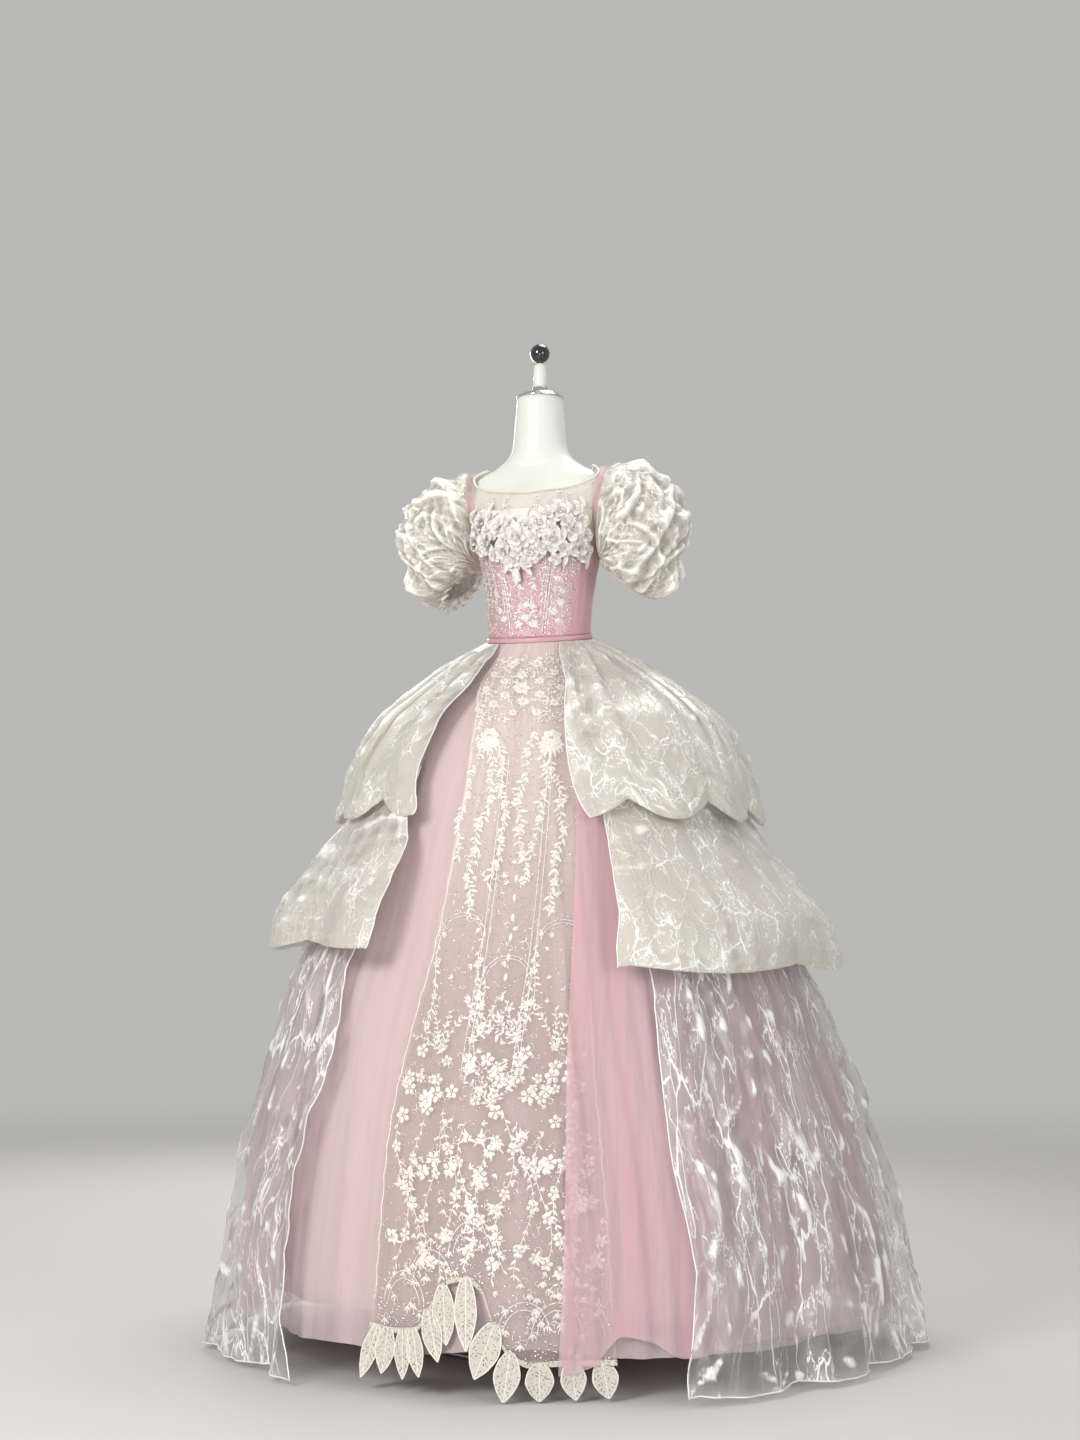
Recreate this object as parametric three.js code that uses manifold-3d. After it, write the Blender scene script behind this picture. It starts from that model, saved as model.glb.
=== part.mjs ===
// Ball gown on a limbless dress form: a fitted bodice with a sheer yoke and a band of fabric flowers,
// puff sleeves, a satin underskirt under tulle, a lace front panel with a leaf hem, and an overskirt
// of three organza tiers, open at the front. Millimetres, +Z up, the gown faces -Y, origin under the pole.
// Angles round the body are in degrees from the front, positive towards +X, the wearer's left.
import * as THREE from "three";
import { mergeVertices } from "three/addons/utils/BufferGeometryUtils.js";
import Module from "manifold-3d";

const wasm = await Module();
wasm.setup();

// Driving dimensions
const WAIST_SEAM_Z = 1330;
const FRONT_DIP = 27; // how far the waist seam dips at the front
const CLOTH = 1.2; // wall of tulle, lace and organza
const SATIN = 1.8; // wall of the boned bodice
const SEAM = 0.4; // air between pieces that are sewn together
const BODY_AIR = 2.6; // air between the dress form and the bodice
const HEM_CLEARANCE = 3; // lowest cloth above the floor
const COLUMN_STEP = 360 / 40; // degrees between the columns of every skirt layer

// Colours read from the photograph
const PALETTE = {
  form: 0xe9ede8, chrome: 0xc9ccd0, knob: 0x17171a, pole: 0xb8bbc0,
  satin: 0xe0a2b2, pinkTulle: 0xe2b3bc, paleTulle: 0xe6cdc8, lace: 0xe8ddd2,
  organza: 0xe6e4dc, flower: 0xf2f0ec, net: 0xeadcd2, leaf: 0xece6d8,
};

const radians = (degrees) => (degrees * Math.PI) / 180;
const mix = (a, b, share) => a + (b - a) * share;
const ramp = (from, to, value) => {
  const share = Math.min(1, Math.max(0, (value - from) / (to - from)));
  return share * share * (3 - 2 * share);
};

// A smooth curve through one column of a table, over another column that only rises or only falls
function column(rows, key, by = "z") {
  const points = rows.map((row) => [row[by], row[key]]).sort((p, q) => p[0] - q[0]);
  const slope = (i) => (points[i + 1][1] - points[i][1]) / (points[i + 1][0] - points[i][0]);
  const tangent = points.map((_, i) => {
    if (i === 0) return slope(0);
    if (i === points.length - 1) return slope(i - 1);
    const [before, after] = [slope(i - 1), slope(i)];
    return before * after <= 0 ? 0 : (2 * before * after) / (before + after);
  });
  return (at) => {
    if (at <= points[0][0]) return points[0][1];
    if (at >= points.at(-1)[0]) return points.at(-1)[1];
    const i = points.findIndex((p) => p[0] > at) - 1;
    const width = points[i + 1][0] - points[i][0];
    const s = (at - points[i][0]) / width;
    return (
      (1 + 2 * s) * (1 - s) ** 2 * points[i][1] + s * (1 - s) ** 2 * width * tangent[i] +
      s * s * (3 - 2 * s) * points[i + 1][1] + s * s * (s - 1) * width * tangent[i + 1]
    );
  };
}

// Closed geometry between an outer and an inner grid of points; rows run down, columns run round
function between(outer, inner, closed = false) {
  const rows = outer.length;
  const columns = outer[0].length;
  const positions = [...outer.flat(), ...inner.flat()].flatMap((p) => [p.x, p.y, p.z]);
  const at = (side, i, j) => side * rows * columns + i * columns + (j % columns);
  const index = [];
  const quad = (a, b, c, d) => index.push(a, b, c, a, c, d);
  const spans = closed ? columns : columns - 1;
  for (let i = 0; i < rows - 1; i++) {
    for (let j = 0; j < spans; j++) {
      quad(at(0, i, j), at(0, i + 1, j), at(0, i + 1, j + 1), at(0, i, j + 1));
      quad(at(1, i, j), at(1, i, j + 1), at(1, i + 1, j + 1), at(1, i + 1, j));
    }
  }
  for (let j = 0; j < spans; j++) {
    quad(at(0, 0, j), at(0, 0, j + 1), at(1, 0, j + 1), at(1, 0, j));
    quad(at(0, rows - 1, j), at(1, rows - 1, j), at(1, rows - 1, j + 1), at(0, rows - 1, j + 1));
  }
  for (let i = 0; i < rows - 1 && !closed; i++) {
    quad(at(0, i, 0), at(1, i, 0), at(1, i + 1, 0), at(0, i + 1, 0));
    quad(at(0, i, columns - 1), at(0, i + 1, columns - 1), at(1, i + 1, columns - 1), at(1, i, columns - 1));
  }
  const geometry = new THREE.BufferGeometry();
  geometry.setAttribute("position", new THREE.Float32BufferAttribute(positions, 3));
  geometry.setIndex(index);
  geometry.computeVertexNormals();
  return geometry;
}

// A grid of points from pointAt(row, column), and its outward normals
const grid = (rows, columns, pointAt) => rows.map((row) => columns.map((place) => pointAt(row, place)));

function normals(points, closed) {
  const last = points[0].length - 1;
  const wrap = (j) => (j + last + 1) % (last + 1);
  return points.map((row, i) =>
    row.map((_, j) => {
      const above = points[Math.max(i - 1, 0)][j];
      const below = points[Math.min(i + 1, points.length - 1)][j];
      const before = row[closed ? wrap(j - 1) : Math.max(j - 1, 0)];
      const after = row[closed ? wrap(j + 1) : Math.min(j + 1, last)];
      const down = below.clone().sub(above);
      const round = after.clone().sub(before);
      return down.cross(round).normalize();
    }),
  );
}

// A cloth wall: the outer grid, thickened inwards
function cloth(points, thickness, closed = false) {
  const out = normals(points, closed);
  const inner = points.map((row, i) => row.map((p, j) => p.clone().addScaledVector(out[i][j], -thickness)));
  return between(points, inner, closed);
}

const range = (from, to, count) => Array.from({ length: count + 1 }, (_, i) => mix(from, to, i / count));

// Solids in and out of manifold-3d
function toSolid(geometry) {
  const bare = geometry.clone();
  bare.deleteAttribute("normal");
  bare.deleteAttribute("uv");
  const merged = mergeVertices(bare, 1e-3);
  return new wasm.Manifold(
    new wasm.Mesh({
      numProp: 3,
      vertProperties: merged.attributes.position.array,
      triVerts: new Uint32Array(merged.index.array),
    }),
  );
}

function fromSolid(solid) {
  const mesh = solid.getMesh();
  const geometry = new THREE.BufferGeometry();
  geometry.setAttribute("position", new THREE.BufferAttribute(mesh.vertProperties, 3));
  geometry.setIndex(new THREE.BufferAttribute(mesh.triVerts, 1));
  geometry.computeVertexNormals();
  return geometry;
}

const fused = (geometries) => fromSolid(geometries.map(toSolid).reduce((sum, next) => sum.add(next)));

const gown = new THREE.Group();

function piece(name, geometry, colour, finish = {}) {
  const material = new THREE.MeshStandardMaterial({ color: colour, roughness: 0.55, metalness: 0, ...finish });
  material.side = THREE.DoubleSide;
  const mesh = new THREE.Mesh(geometry, material);
  mesh.name = name;
  gown.add(mesh);
  return mesh;
}

// The dress form: sections of the torso and neck, half-width, and depth to the front and the back
const BODY = [
  { z: 1090, side: 108, front: 76, back: 84 },
  { z: 1150, side: 122, front: 84, back: 94 },
  { z: 1220, side: 114, front: 83, back: 90 },
  { z: 1280, side: 97, front: 78, back: 79 },
  { z: 1330, side: 94, front: 76, back: 75 },
  { z: 1375, side: 96, front: 78, back: 76 },
  { z: 1420, side: 102, front: 85, back: 80 },
  { z: 1465, side: 111, front: 97, back: 86 },
  { z: 1505, side: 120, front: 110, back: 91 },
  { z: 1540, side: 127, front: 103, back: 93 },
  { z: 1575, side: 135, front: 88, back: 90 },
  { z: 1605, side: 139, front: 73, back: 82 },
  { z: 1628, side: 134, front: 62, back: 72 },
  { z: 1642, side: 115, front: 56, back: 64 },
  { z: 1654, side: 88, front: 52, back: 58 },
  { z: 1668, side: 62, front: 50, back: 53 },
  { z: 1690, side: 52, front: 49, back: 49 },
  { z: 1735, side: 48, front: 47, back: 47 },
  { z: 1784, side: 44, front: 44, back: 44 },
];
const NECK_TOP_Z = BODY.at(-1).z;
const HIP_Z = BODY[0].z;
const bodySide = column(BODY, "side");
const bodyFront = column(BODY, "front");
const bodyBack = column(BODY, "back");

function onBody(z, angle) {
  const t = radians(angle);
  const depth = Math.cos(t) > 0 ? bodyFront(z) : bodyBack(z);
  return new THREE.Vector3(bodySide(z) * Math.sin(t), -depth * Math.cos(t), z);
}

// A point at a distance from the body, along its normal
function offBody(z, angle, distance) {
  const step = 0.5;
  const down = onBody(z - step, angle).sub(onBody(z + step, angle));
  const round = onBody(z, angle + step).sub(onBody(z, angle - step));
  return onBody(z, angle).addScaledVector(down.cross(round).normalize(), distance);
}

const FORM_COLUMNS = 26;

// The shoulder of the form is drawn in a little, to stay clear of the yoke
function onForm(z, angle) {
  return offBody(z, angle, -6 * ramp(1585, 1615, z) * (1 - ramp(1650, 1668, z)));
}

function torso() {
  const around = range(0, 360, FORM_COLUMNS).slice(0, -1);
  const levels = BODY.map((row) => row.z).reverse();
  const shell = grid(levels, around, onForm);
  const positions = shell.flat().flatMap((p) => [p.x, p.y, p.z]);
  positions.push(0, 0, NECK_TOP_Z, 0, 0, HIP_Z);
  const [top, bottom] = [levels.length * FORM_COLUMNS, levels.length * FORM_COLUMNS + 1];
  const at = (i, j) => i * FORM_COLUMNS + (j % FORM_COLUMNS);
  const index = [];
  for (let j = 0; j < FORM_COLUMNS; j++) {
    index.push(top, at(0, j), at(0, j + 1));
    index.push(bottom, at(levels.length - 1, j + 1), at(levels.length - 1, j));
    for (let i = 0; i < levels.length - 1; i++) {
      index.push(at(i, j), at(i + 1, j), at(i + 1, j + 1), at(i, j), at(i + 1, j + 1), at(i, j + 1));
    }
  }
  const geometry = new THREE.BufferGeometry();
  geometry.setAttribute("position", new THREE.Float32BufferAttribute(positions, 3));
  geometry.setIndex(index);
  geometry.computeVertexNormals();
  return geometry;
}

// A turned piece from rows of radius and height, on the Z axis
function turned(rows, segments = 16) {
  const profile = rows.map((row) => new THREE.Vector2(row.r, row.z));
  return new THREE.LatheGeometry(profile, segments).rotateX(Math.PI / 2);
}

const CAP_Z = NECK_TOP_Z + SEAM;
const CAP = [
  { r: 0, z: CAP_Z }, { r: 45, z: CAP_Z }, { r: 45, z: CAP_Z + 3 }, { r: 38, z: CAP_Z + 7 },
  { r: 36, z: CAP_Z + 8 }, { r: 26, z: CAP_Z + 12 }, { r: 15, z: CAP_Z + 14 }, { r: 15, z: CAP_Z + 22 },
  { r: 0, z: CAP_Z + 22 },
];
const POST_Z = CAP_Z + 22 + SEAM;
const POST = [
  { r: 0, z: POST_Z }, { r: 12.5, z: POST_Z }, { r: 13, z: POST_Z + 10 }, { r: 11.5, z: POST_Z + 42 },
  { r: 5, z: POST_Z + 47 }, { r: 0, z: POST_Z + 47 },
];
const KNOB_R = 19;
const KNOB_Z = POST_Z + 47 + SEAM;
const KNOB = [
  { r: 0, z: KNOB_Z },
  ...range(-76, 76, 6).map((a) => ({
    r: KNOB_R * Math.cos(radians(a)),
    z: KNOB_Z + KNOB_R * (Math.sin(radians(76)) + Math.sin(radians(a))),
  })),
  { r: 0, z: KNOB_Z + 2 * KNOB_R * Math.sin(radians(76)) },
];
const BASE_R = 200;
const BASE_THICKNESS = 14;
const POLE_R = 16;
const POLE = [
  { r: 0, z: BASE_THICKNESS + SEAM }, { r: 26, z: BASE_THICKNESS + SEAM }, { r: 26, z: BASE_THICKNESS + 18 },
  { r: POLE_R, z: BASE_THICKNESS + 24 }, { r: POLE_R, z: HIP_Z - SEAM }, { r: 0, z: HIP_Z - SEAM },
];
const BASE = [
  { r: 0, z: 0 }, { r: BASE_R, z: 0 }, { r: BASE_R, z: BASE_THICKNESS - 5 },
  { r: BASE_R - 8, z: BASE_THICKNESS }, { r: 0, z: BASE_THICKNESS },
];

piece("form_torso", torso(), PALETTE.form, { roughness: 0.45 });
piece("form_neck_cap", turned(CAP), PALETTE.chrome, { roughness: 0.15, metalness: 1 });
piece("form_post", turned(POST, 16), PALETTE.form, { roughness: 0.35 });
piece("form_knob", turned(KNOB, 14), PALETTE.knob, { roughness: 0.12 });
piece("form_pole", turned(POLE, 16), PALETTE.pole, { roughness: 0.2, metalness: 1 });
piece("form_base", turned(BASE, 30), PALETTE.pole, { roughness: 0.3, metalness: 1 });

// The bodice: princess panels between the waist seam and the bust edge
const seamZ = (angle) => WAIST_SEAM_Z - (FRONT_DIP * (1 + Math.cos(radians(angle)))) / 2;
const BUST_EDGE_Z = 1556;
const BODICE_LEVELS = [1375, 1420, 1455, 1482, 1505, 1530];
const BODICE_OUT = BODY_AIR + SATIN;

// Armhole edge of the front, mirrored for the back
const ARMHOLE = [
  { z: 1470, edge: 90 }, { z: 1490, edge: 79 }, { z: 1530, edge: 67 }, { z: 1575, edge: 61 },
  { z: 1610, edge: 65 }, { z: 1630, edge: 78 }, { z: 1640, edge: 89 },
];
const armhole = column(ARMHOLE, "edge");
const sideEdge = (z) => (z <= ARMHOLE[0].z ? 90 : armhole(z));

// Seams between the panels, in degrees at the waist and at the bust edge
const PRINCESS = { waist: 19, bust: 33 };
const SIDE_BACK = { waist: 128, bust: 140 };
const princess = (z) => mix(PRINCESS.waist, PRINCESS.bust, (z - WAIST_SEAM_Z) / (BUST_EDGE_Z - WAIST_SEAM_Z));
const sideBack = (z) => mix(SIDE_BACK.waist, SIDE_BACK.bust, (z - WAIST_SEAM_Z) / (BUST_EDGE_Z - WAIST_SEAM_Z));
const ZIP_HALF = 2.6; // degrees
const halfSeam = 0.16; // degrees on each side of a seam

// Wall on the body between two edges, each an angle for every height; its first and last rows follow curves
function bodyPanel(low, high, leftEdge, rightEdge, levels, columns, thickness, distance, relief = () => 0) {
  const shares = range(0, 1, columns);
  const rows = [high, ...levels.slice().reverse(), low];
  const place = (extra) => (row, share) => {
    const middle = typeof row === "function" ? row(mix(leftEdge(1400), rightEdge(1400), share)) : row;
    const angle = mix(leftEdge(middle), rightEdge(middle), share);
    const z = typeof row === "function" ? row(angle) : row;
    return offBody(z, angle, distance + extra(z, angle));
  };
  const outer = grid(rows, shares, place(relief));
  const inner = grid(rows, shares, place(() => -thickness));
  return between(outer, inner);
}

const waistEdge = (angle) => seamZ(angle) + 10 + SEAM; // above the waistband
const bustEdge = () => BUST_EDGE_Z;
const BODICE_PANELS = [
  { name: "bodice_centre_front", left: (z) => -princess(z) + halfSeam, right: (z) => princess(z) - halfSeam, columns: 5 },
  { name: "bodice_side_front_left", left: (z) => princess(z) + halfSeam, right: (z) => sideEdge(z) - halfSeam, columns: 5 },
  { name: "bodice_side_front_right", left: (z) => -sideEdge(z) + halfSeam, right: (z) => -princess(z) - halfSeam, columns: 5 },
  { name: "bodice_side_back_left", left: (z) => 180 - sideEdge(z) + halfSeam, right: (z) => sideBack(z) - halfSeam, columns: 4 },
  { name: "bodice_side_back_right", left: (z) => -sideBack(z) + halfSeam, right: (z) => sideEdge(z) - 180 - halfSeam, columns: 4 },
  { name: "bodice_back_left", left: (z) => sideBack(z) + halfSeam, right: () => 180 - ZIP_HALF, columns: 4 },
  { name: "bodice_back_right", left: () => ZIP_HALF - 180, right: (z) => -sideBack(z) - halfSeam, columns: 4 },
];
for (const { name, left, right, columns } of BODICE_PANELS) {
  const geometry = bodyPanel(waistEdge, bustEdge, left, right, BODICE_LEVELS, columns, SATIN, BODICE_OUT);
  piece(name, geometry, PALETTE.satin, { roughness: 0.4 });
}

// The sheer yoke, above the bust edge, up to the round neckline
const NECKLINE = [
  { angle: 0, z: 1584 }, { angle: 30, z: 1592 }, { angle: 55, z: 1612 }, { angle: 75, z: 1636 },
  { angle: 90, z: 1645 }, { angle: 120, z: 1643 }, { angle: 150, z: 1634 }, { angle: 180, z: 1628 },
];
const neckline = column(NECKLINE, "z", "angle");
const neckEdge = (angle) => neckline(Math.abs(angle));

// Air under the yoke: more over the shoulder, where the sleeves lift it
function yokeAir(z, angle) {
  const aside = 90 - Math.abs(90 - Math.abs(angle));
  return 3.6 + 5 * ramp(35, 65, aside) * ramp(1580, 1612, z);
}

function yoke(left, right, columns) {
  const angles = range(0, 1, columns);
  const rows = range(0, 1, 5);
  const place = (distance) => (share, across) => {
    let z = BUST_EDGE_Z + SEAM;
    let angle = 0;
    for (let pass = 0; pass < 6; pass++) {
      angle = mix(left(z), right(z), across);
      z = mix(neckEdge(angle), BUST_EDGE_Z + SEAM, share);
    }
    return offBody(z, angle, yokeAir(z, angle) + distance);
  };
  return between(grid(rows, angles, place(CLOTH)), grid(rows, angles, place(0)));
}

piece("yoke_front", yoke((z) => -sideEdge(z) + halfSeam, (z) => sideEdge(z) - halfSeam, 14), PALETTE.net);
piece("yoke_back_left", yoke((z) => 180 - sideEdge(z) + halfSeam, () => 180 - ZIP_HALF, 7), PALETTE.net);
piece("yoke_back_right", yoke(() => ZIP_HALF - 180, (z) => sideEdge(z) - 180 - halfSeam, 7), PALETTE.net);

// A flat band round the body between two edge curves
function bodyBand(low, high, from, to, columns, thickness, distance, air = () => 0) {
  const angles = range(from, to, columns);
  const closed = to - from >= 360;
  const around = closed ? angles.slice(0, -1) : angles;
  const turn = (angle) => (angle > 180 ? angle - 360 : angle);
  const place = (d) => (edge, angle) => offBody(edge(angle), angle, d + air(edge(angle), turn(angle)));
  return between(
    grid([high, low], around, place(distance)),
    grid([high, low], around, place(distance - thickness)),
    closed,
  );
}

const bindingLow = (angle) => neckEdge(angle) + 2.4;
const bindingHigh = (angle) => bindingLow(angle) + 5;
const bandLow = (angle) => seamZ(angle) + SEAM;
const bandHigh = (angle) => seamZ(angle) + 10;
piece(
  "neck_binding",
  bodyBand(bindingLow, bindingHigh, -180 + ZIP_HALF, 180 - ZIP_HALF, 36, 2.4, 1.8, yokeAir),
  PALETTE.organza,
);
piece("waistband", bodyBand(bandLow, bandHigh, 0, 360, 40, 5, BODICE_OUT + 2.2), PALETTE.satin, { roughness: 0.4 });

const zipAngles = [180 - ZIP_HALF + 0.4, 180 + ZIP_HALF - 0.4];
const zipRows = [1620, 1600, 1575, 1540, 1505, 1465, 1420, 1375, 1343];
const zipPoint = (distance) => (z, angle) => offBody(z, angle, distance);
piece(
  "back_zip",
  between(grid(zipRows, zipAngles, zipPoint(BODICE_OUT)), grid(zipRows, zipAngles, zipPoint(BODY_AIR))),
  PALETTE.satin,
);

// Petals and leaves: small pointed solids of eight faces, laid on a surface frame
function frameAt(z, angle, distance) {
  const origin = offBody(z, angle, distance);
  const out = offBody(z, angle, distance + 1).sub(origin).normalize();
  const round = new THREE.Vector3(0, 0, 1).cross(out).normalize();
  const up = out.clone().cross(round).normalize();
  return { origin, out, round, up };
}

function petal({ origin, out, round, up }, turn, lift, length, width, thickness, start = 0) {
  const flat = round.clone().multiplyScalar(Math.cos(radians(turn))).addScaledVector(up, Math.sin(radians(turn)));
  const along = flat.clone().multiplyScalar(Math.cos(radians(lift))).addScaledVector(out, Math.sin(radians(lift)));
  const across = out.clone().cross(flat).normalize();
  const over = along.clone().cross(across).normalize();
  const middle = origin.clone().addScaledVector(along, start + length * 0.55);
  const corners = [
    origin.clone().addScaledVector(along, start),
    middle.clone().addScaledVector(across, width / 2).addScaledVector(out, 1.5),
    origin.clone().addScaledVector(along, start + length),
    middle.clone().addScaledVector(across, -width / 2).addScaledVector(out, 1.5),
    middle.clone().addScaledVector(over, thickness / 2),
    middle.clone().addScaledVector(over, -thickness / 2),
  ];
  const geometry = new THREE.BufferGeometry();
  geometry.setAttribute("position", new THREE.Float32BufferAttribute(corners.flatMap((p) => p.toArray()), 3));
  geometry.setIndex([0, 1, 4, 1, 2, 4, 2, 3, 4, 3, 0, 4, 1, 0, 5, 2, 1, 5, 3, 2, 5, 0, 3, 5]);
  if (toSolid(geometry).volume() < 0) geometry.index.array.reverse();
  return geometry;
}

// Flowers of the bust band: place on the body, petal length and how far they turn
const FLOWERS = [
  { angle: -47, z: 1524, length: 24, turn: 10 }, { angle: -40, z: 1536, length: 26, turn: 70 },
  { angle: -36, z: 1498, length: 28, turn: 20 }, { angle: -20, z: 1518, length: 28, turn: 5 },
  { angle: -17, z: 1478, length: 27, turn: 55 }, { angle: -3, z: 1500, length: 30, turn: 30 },
  { angle: 9, z: 1474, length: 24, turn: 45 }, { angle: 15, z: 1522, length: 28, turn: 65 },
  { angle: 28, z: 1496, length: 28, turn: 25 }, { angle: 32, z: 1544, length: 27, turn: 50 },
  { angle: 45, z: 1514, length: 27, turn: 10 }, { angle: 54, z: 1484, length: 25, turn: 35 },
];
const FLOWER_LEAVES = [
  { angle: -9, z: 1452, turn: -75, length: 38 }, { angle: -3, z: 1460, turn: -110, length: 32 },
  { angle: -18, z: 1462, turn: -60, length: 30 }, { angle: -55, z: 1518, turn: 130, length: 22 },
  { angle: -46, z: 1546, turn: 100, length: 26 }, { angle: 25, z: 1546, turn: 80, length: 28 },
  { angle: 62, z: 1470, turn: -80, length: 30 },
];
const FLOWER_OUT = BODICE_OUT + 2.8; // back of the band
const BACKING = 1.6;

// The narrow strip that the flowers are sewn to
const BACKING_EDGE = [
  { angle: -72, low: 1492, high: 1540 }, { angle: -45, low: 1480, high: 1552 }, { angle: -22, low: 1460, high: 1534 },
  { angle: -8, low: 1444, high: 1520 }, { angle: 8, low: 1462, high: 1528 }, { angle: 32, low: 1480, high: 1556 },
  { angle: 54, low: 1468, high: 1546 }, { angle: 76, low: 1462, high: 1500 },
];
const backingLow = column(BACKING_EDGE, "low", "angle");
const backingHigh = column(BACKING_EDGE, "high", "angle");

function flowerBand() {
  const angles = range(-68, 70, 14);
  const shares = range(0, 1, 3);
  const strip = (distance) => (share, angle) => {
    const z = mix(backingHigh(angle), backingLow(angle), share);
    const room = sideEdge(z) - 6;
    return offBody(z, Math.max(-room, Math.min(room, angle)), distance);
  };
  const outer = grid(shares, angles, strip(FLOWER_OUT + BACKING));
  const inner = grid(shares, angles, strip(FLOWER_OUT));
  const parts = [between(outer, inner)];
  for (const { angle, z, length, turn } of FLOWERS) {
    const frame = frameAt(z, angle, FLOWER_OUT + BACKING * 0.6);
    parts.push(petal(frame, turn, 0, 10, 8, 5, -5));
    for (let i = 0; i < 5; i++) {
      parts.push(petal(frame, turn + 72 * i, 20, length, length * 0.62, 3.4, 1));
    }
  }
  for (const { angle, z, turn, length } of FLOWER_LEAVES) {
    parts.push(petal(frameAt(z, angle, FLOWER_OUT + BACKING), turn, 8, length, 11, 3, -6));
  }
  return fused(parts);
}

piece("flower_band", flowerBand(), PALETTE.flower, { roughness: 0.6 });

// Puff sleeves: rings that fan about a line under the arm, from the armhole to the cuff
const ARM = { x: 117.6, y: 2, z: 1462 }; // the line under the arm, on the wearer's left
const SLEEVE = [
  { fan: 8, inner: 12, outer: 186, depth: 48, bow: 4 },
  { fan: 13, inner: 9, outer: 205, depth: 78, bow: 2 },
  { fan: 26, inner: 8, outer: 216, depth: 108, bow: 0 },
  { fan: 42, inner: 8, outer: 206, depth: 118, bow: 0 },
  { fan: 58, inner: 8, outer: 192, depth: 120, bow: 0 },
  { fan: 74, inner: 8, outer: 178, depth: 116, bow: 0 },
  { fan: 90, inner: 8, outer: 160, depth: 108, bow: 0 },
  { fan: 105, inner: 9, outer: 142, depth: 96, bow: 0 },
  { fan: 118, inner: 12, outer: 122, depth: 76, bow: 0 },
  { fan: 128, inner: 20, outer: 104, depth: 52, bow: 0 },
];
const sleeveInner = column(SLEEVE, "inner", "fan");
const sleeveOuter = column(SLEEVE, "outer", "fan");
const sleeveDepth = column(SLEEVE, "depth", "fan");
const sleeveBow = column(SLEEVE, "bow", "fan");
const RIGHT_PUFF = 0.93; // the wearer's right puff is a little smaller
const SLEEVE_COLUMNS = 20;
const SLEEVE_FANS = [8, 13, 24, 36, 48, 60, 72, 84, 96, 108, 119, 128];

// Crushed folds: ridges that run across the puff, each as fan and turn of its middle, in degrees and millimetres
const CRUSH = [
  { fan: 26, turn: 20, lean: 30, width: 9, height: 11 }, { fan: 40, turn: 75, lean: -35, width: 8, height: 10 },
  { fan: 52, turn: -50, lean: 25, width: 9, height: 12 }, { fan: 58, turn: 25, lean: -20, width: 8, height: 10 },
  { fan: 68, turn: 100, lean: 40, width: 9, height: 10 }, { fan: 74, turn: -15, lean: 35, width: 8, height: 11 },
  { fan: 82, turn: -95, lean: -30, width: 9, height: 10 }, { fan: 88, turn: 55, lean: -40, width: 8, height: 9 },
  { fan: 34, turn: -120, lean: 20, width: 9, height: 9 }, { fan: 64, turn: 160, lean: -25, width: 9, height: 9 },
];

function crushed(fan, turn) {
  const fade = ramp(8, 26, fan) * (1 - ramp(112, 128, fan));
  let height = 4.5 * Math.sin(radians(5 * turn + 2.2 * fan)) * Math.sin(radians(3 * turn - 3 * fan));
  for (const ridge of CRUSH) {
    const aside = ((turn - ridge.turn + 540) % 360) - 180;
    const across = fan - ridge.fan - aside * Math.tan(radians(ridge.lean)) * 0.45;
    height += ridge.height * Math.exp(-((across / ridge.width) ** 2) - (aside / 42) ** 2);
  }
  return fade * height;
}

// A point of the left sleeve; side is -1 for the right one
function onSleeve(fan, turn, side, out = 0) {
  const size = side > 0 ? 1 : mix(1, RIGHT_PUFF, ramp(8, 40, fan));
  const lift = crushed(fan, side > 0 ? turn : turn + 35) + out;
  const [inner, outer, depth] = [sleeveInner(fan), size * sleeveOuter(fan), size * sleeveDepth(fan)];
  const [t, f] = [radians(turn), radians(fan)];
  const underarm = Math.max(0, -Math.cos(t)); // the short side stays plain
  const along = (outer + inner) / 2 + ((outer - inner) / 2 + lift * (1 - underarm)) * Math.cos(t);
  const across = (depth + lift) * Math.sin(t);
  const x = ARM.x + along * Math.sin(f) - sleeveBow(fan) * Math.sin(t) ** 2;
  return new THREE.Vector3(side * x, ARM.y + across, ARM.z + along * Math.cos(f));
}

function sleeve(side) {
  const turns = range(0, 360, SLEEVE_COLUMNS).slice(0, -1).map((turn) => -side * turn);
  return cloth(grid(SLEEVE_FANS, turns, (fan, turn) => onSleeve(fan, turn, side)), CLOTH, true);
}

for (const [name, side] of [["left", 1], ["right", -1]]) {
  piece(`sleeve_${name}`, sleeve(side), PALETTE.organza, { roughness: 0.3 });
}

// The skirts: sections of the tulle layer, half-width, half-depth and middle
const SKIRT = [
  { z: 0, side: 592, depth: 620, x: 24, y: 98 },
  { z: 240, side: 562, depth: 586, x: 19, y: 93 },
  { z: 430, side: 525, depth: 544, x: 11, y: 82 },
  { z: 535, side: 495, depth: 512, x: 6, y: 73 },
  { z: 640, side: 462, depth: 476, x: 4, y: 65 },
  { z: 720, side: 430, depth: 440, x: 5, y: 58 },
  { z: 790, side: 405, depth: 412, x: 5, y: 53 },
  { z: 900, side: 368, depth: 374, x: 5, y: 44 },
  { z: 1000, side: 328, depth: 331, x: 4, y: 35 },
  { z: 1085, side: 280, depth: 279, x: 3, y: 26 },
  { z: 1160, side: 229, depth: 222, x: 2, y: 17 },
  { z: 1240, side: 170, depth: 160, x: 1, y: 6 },
  { z: 1290, side: 127, depth: 111, x: 0, y: 1 },
  { z: 1330, side: 98.8, depth: 82.8, x: 0, y: 0 },
];
const skirtSide = column(SKIRT, "side");
const skirtDepth = column(SKIRT, "depth");
const skirtX = column(SKIRT, "x");
const skirtY = column(SKIRT, "y");
const LAYER_GAP = { waist: 1.9, hip: 5, hem: 9 };
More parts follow.
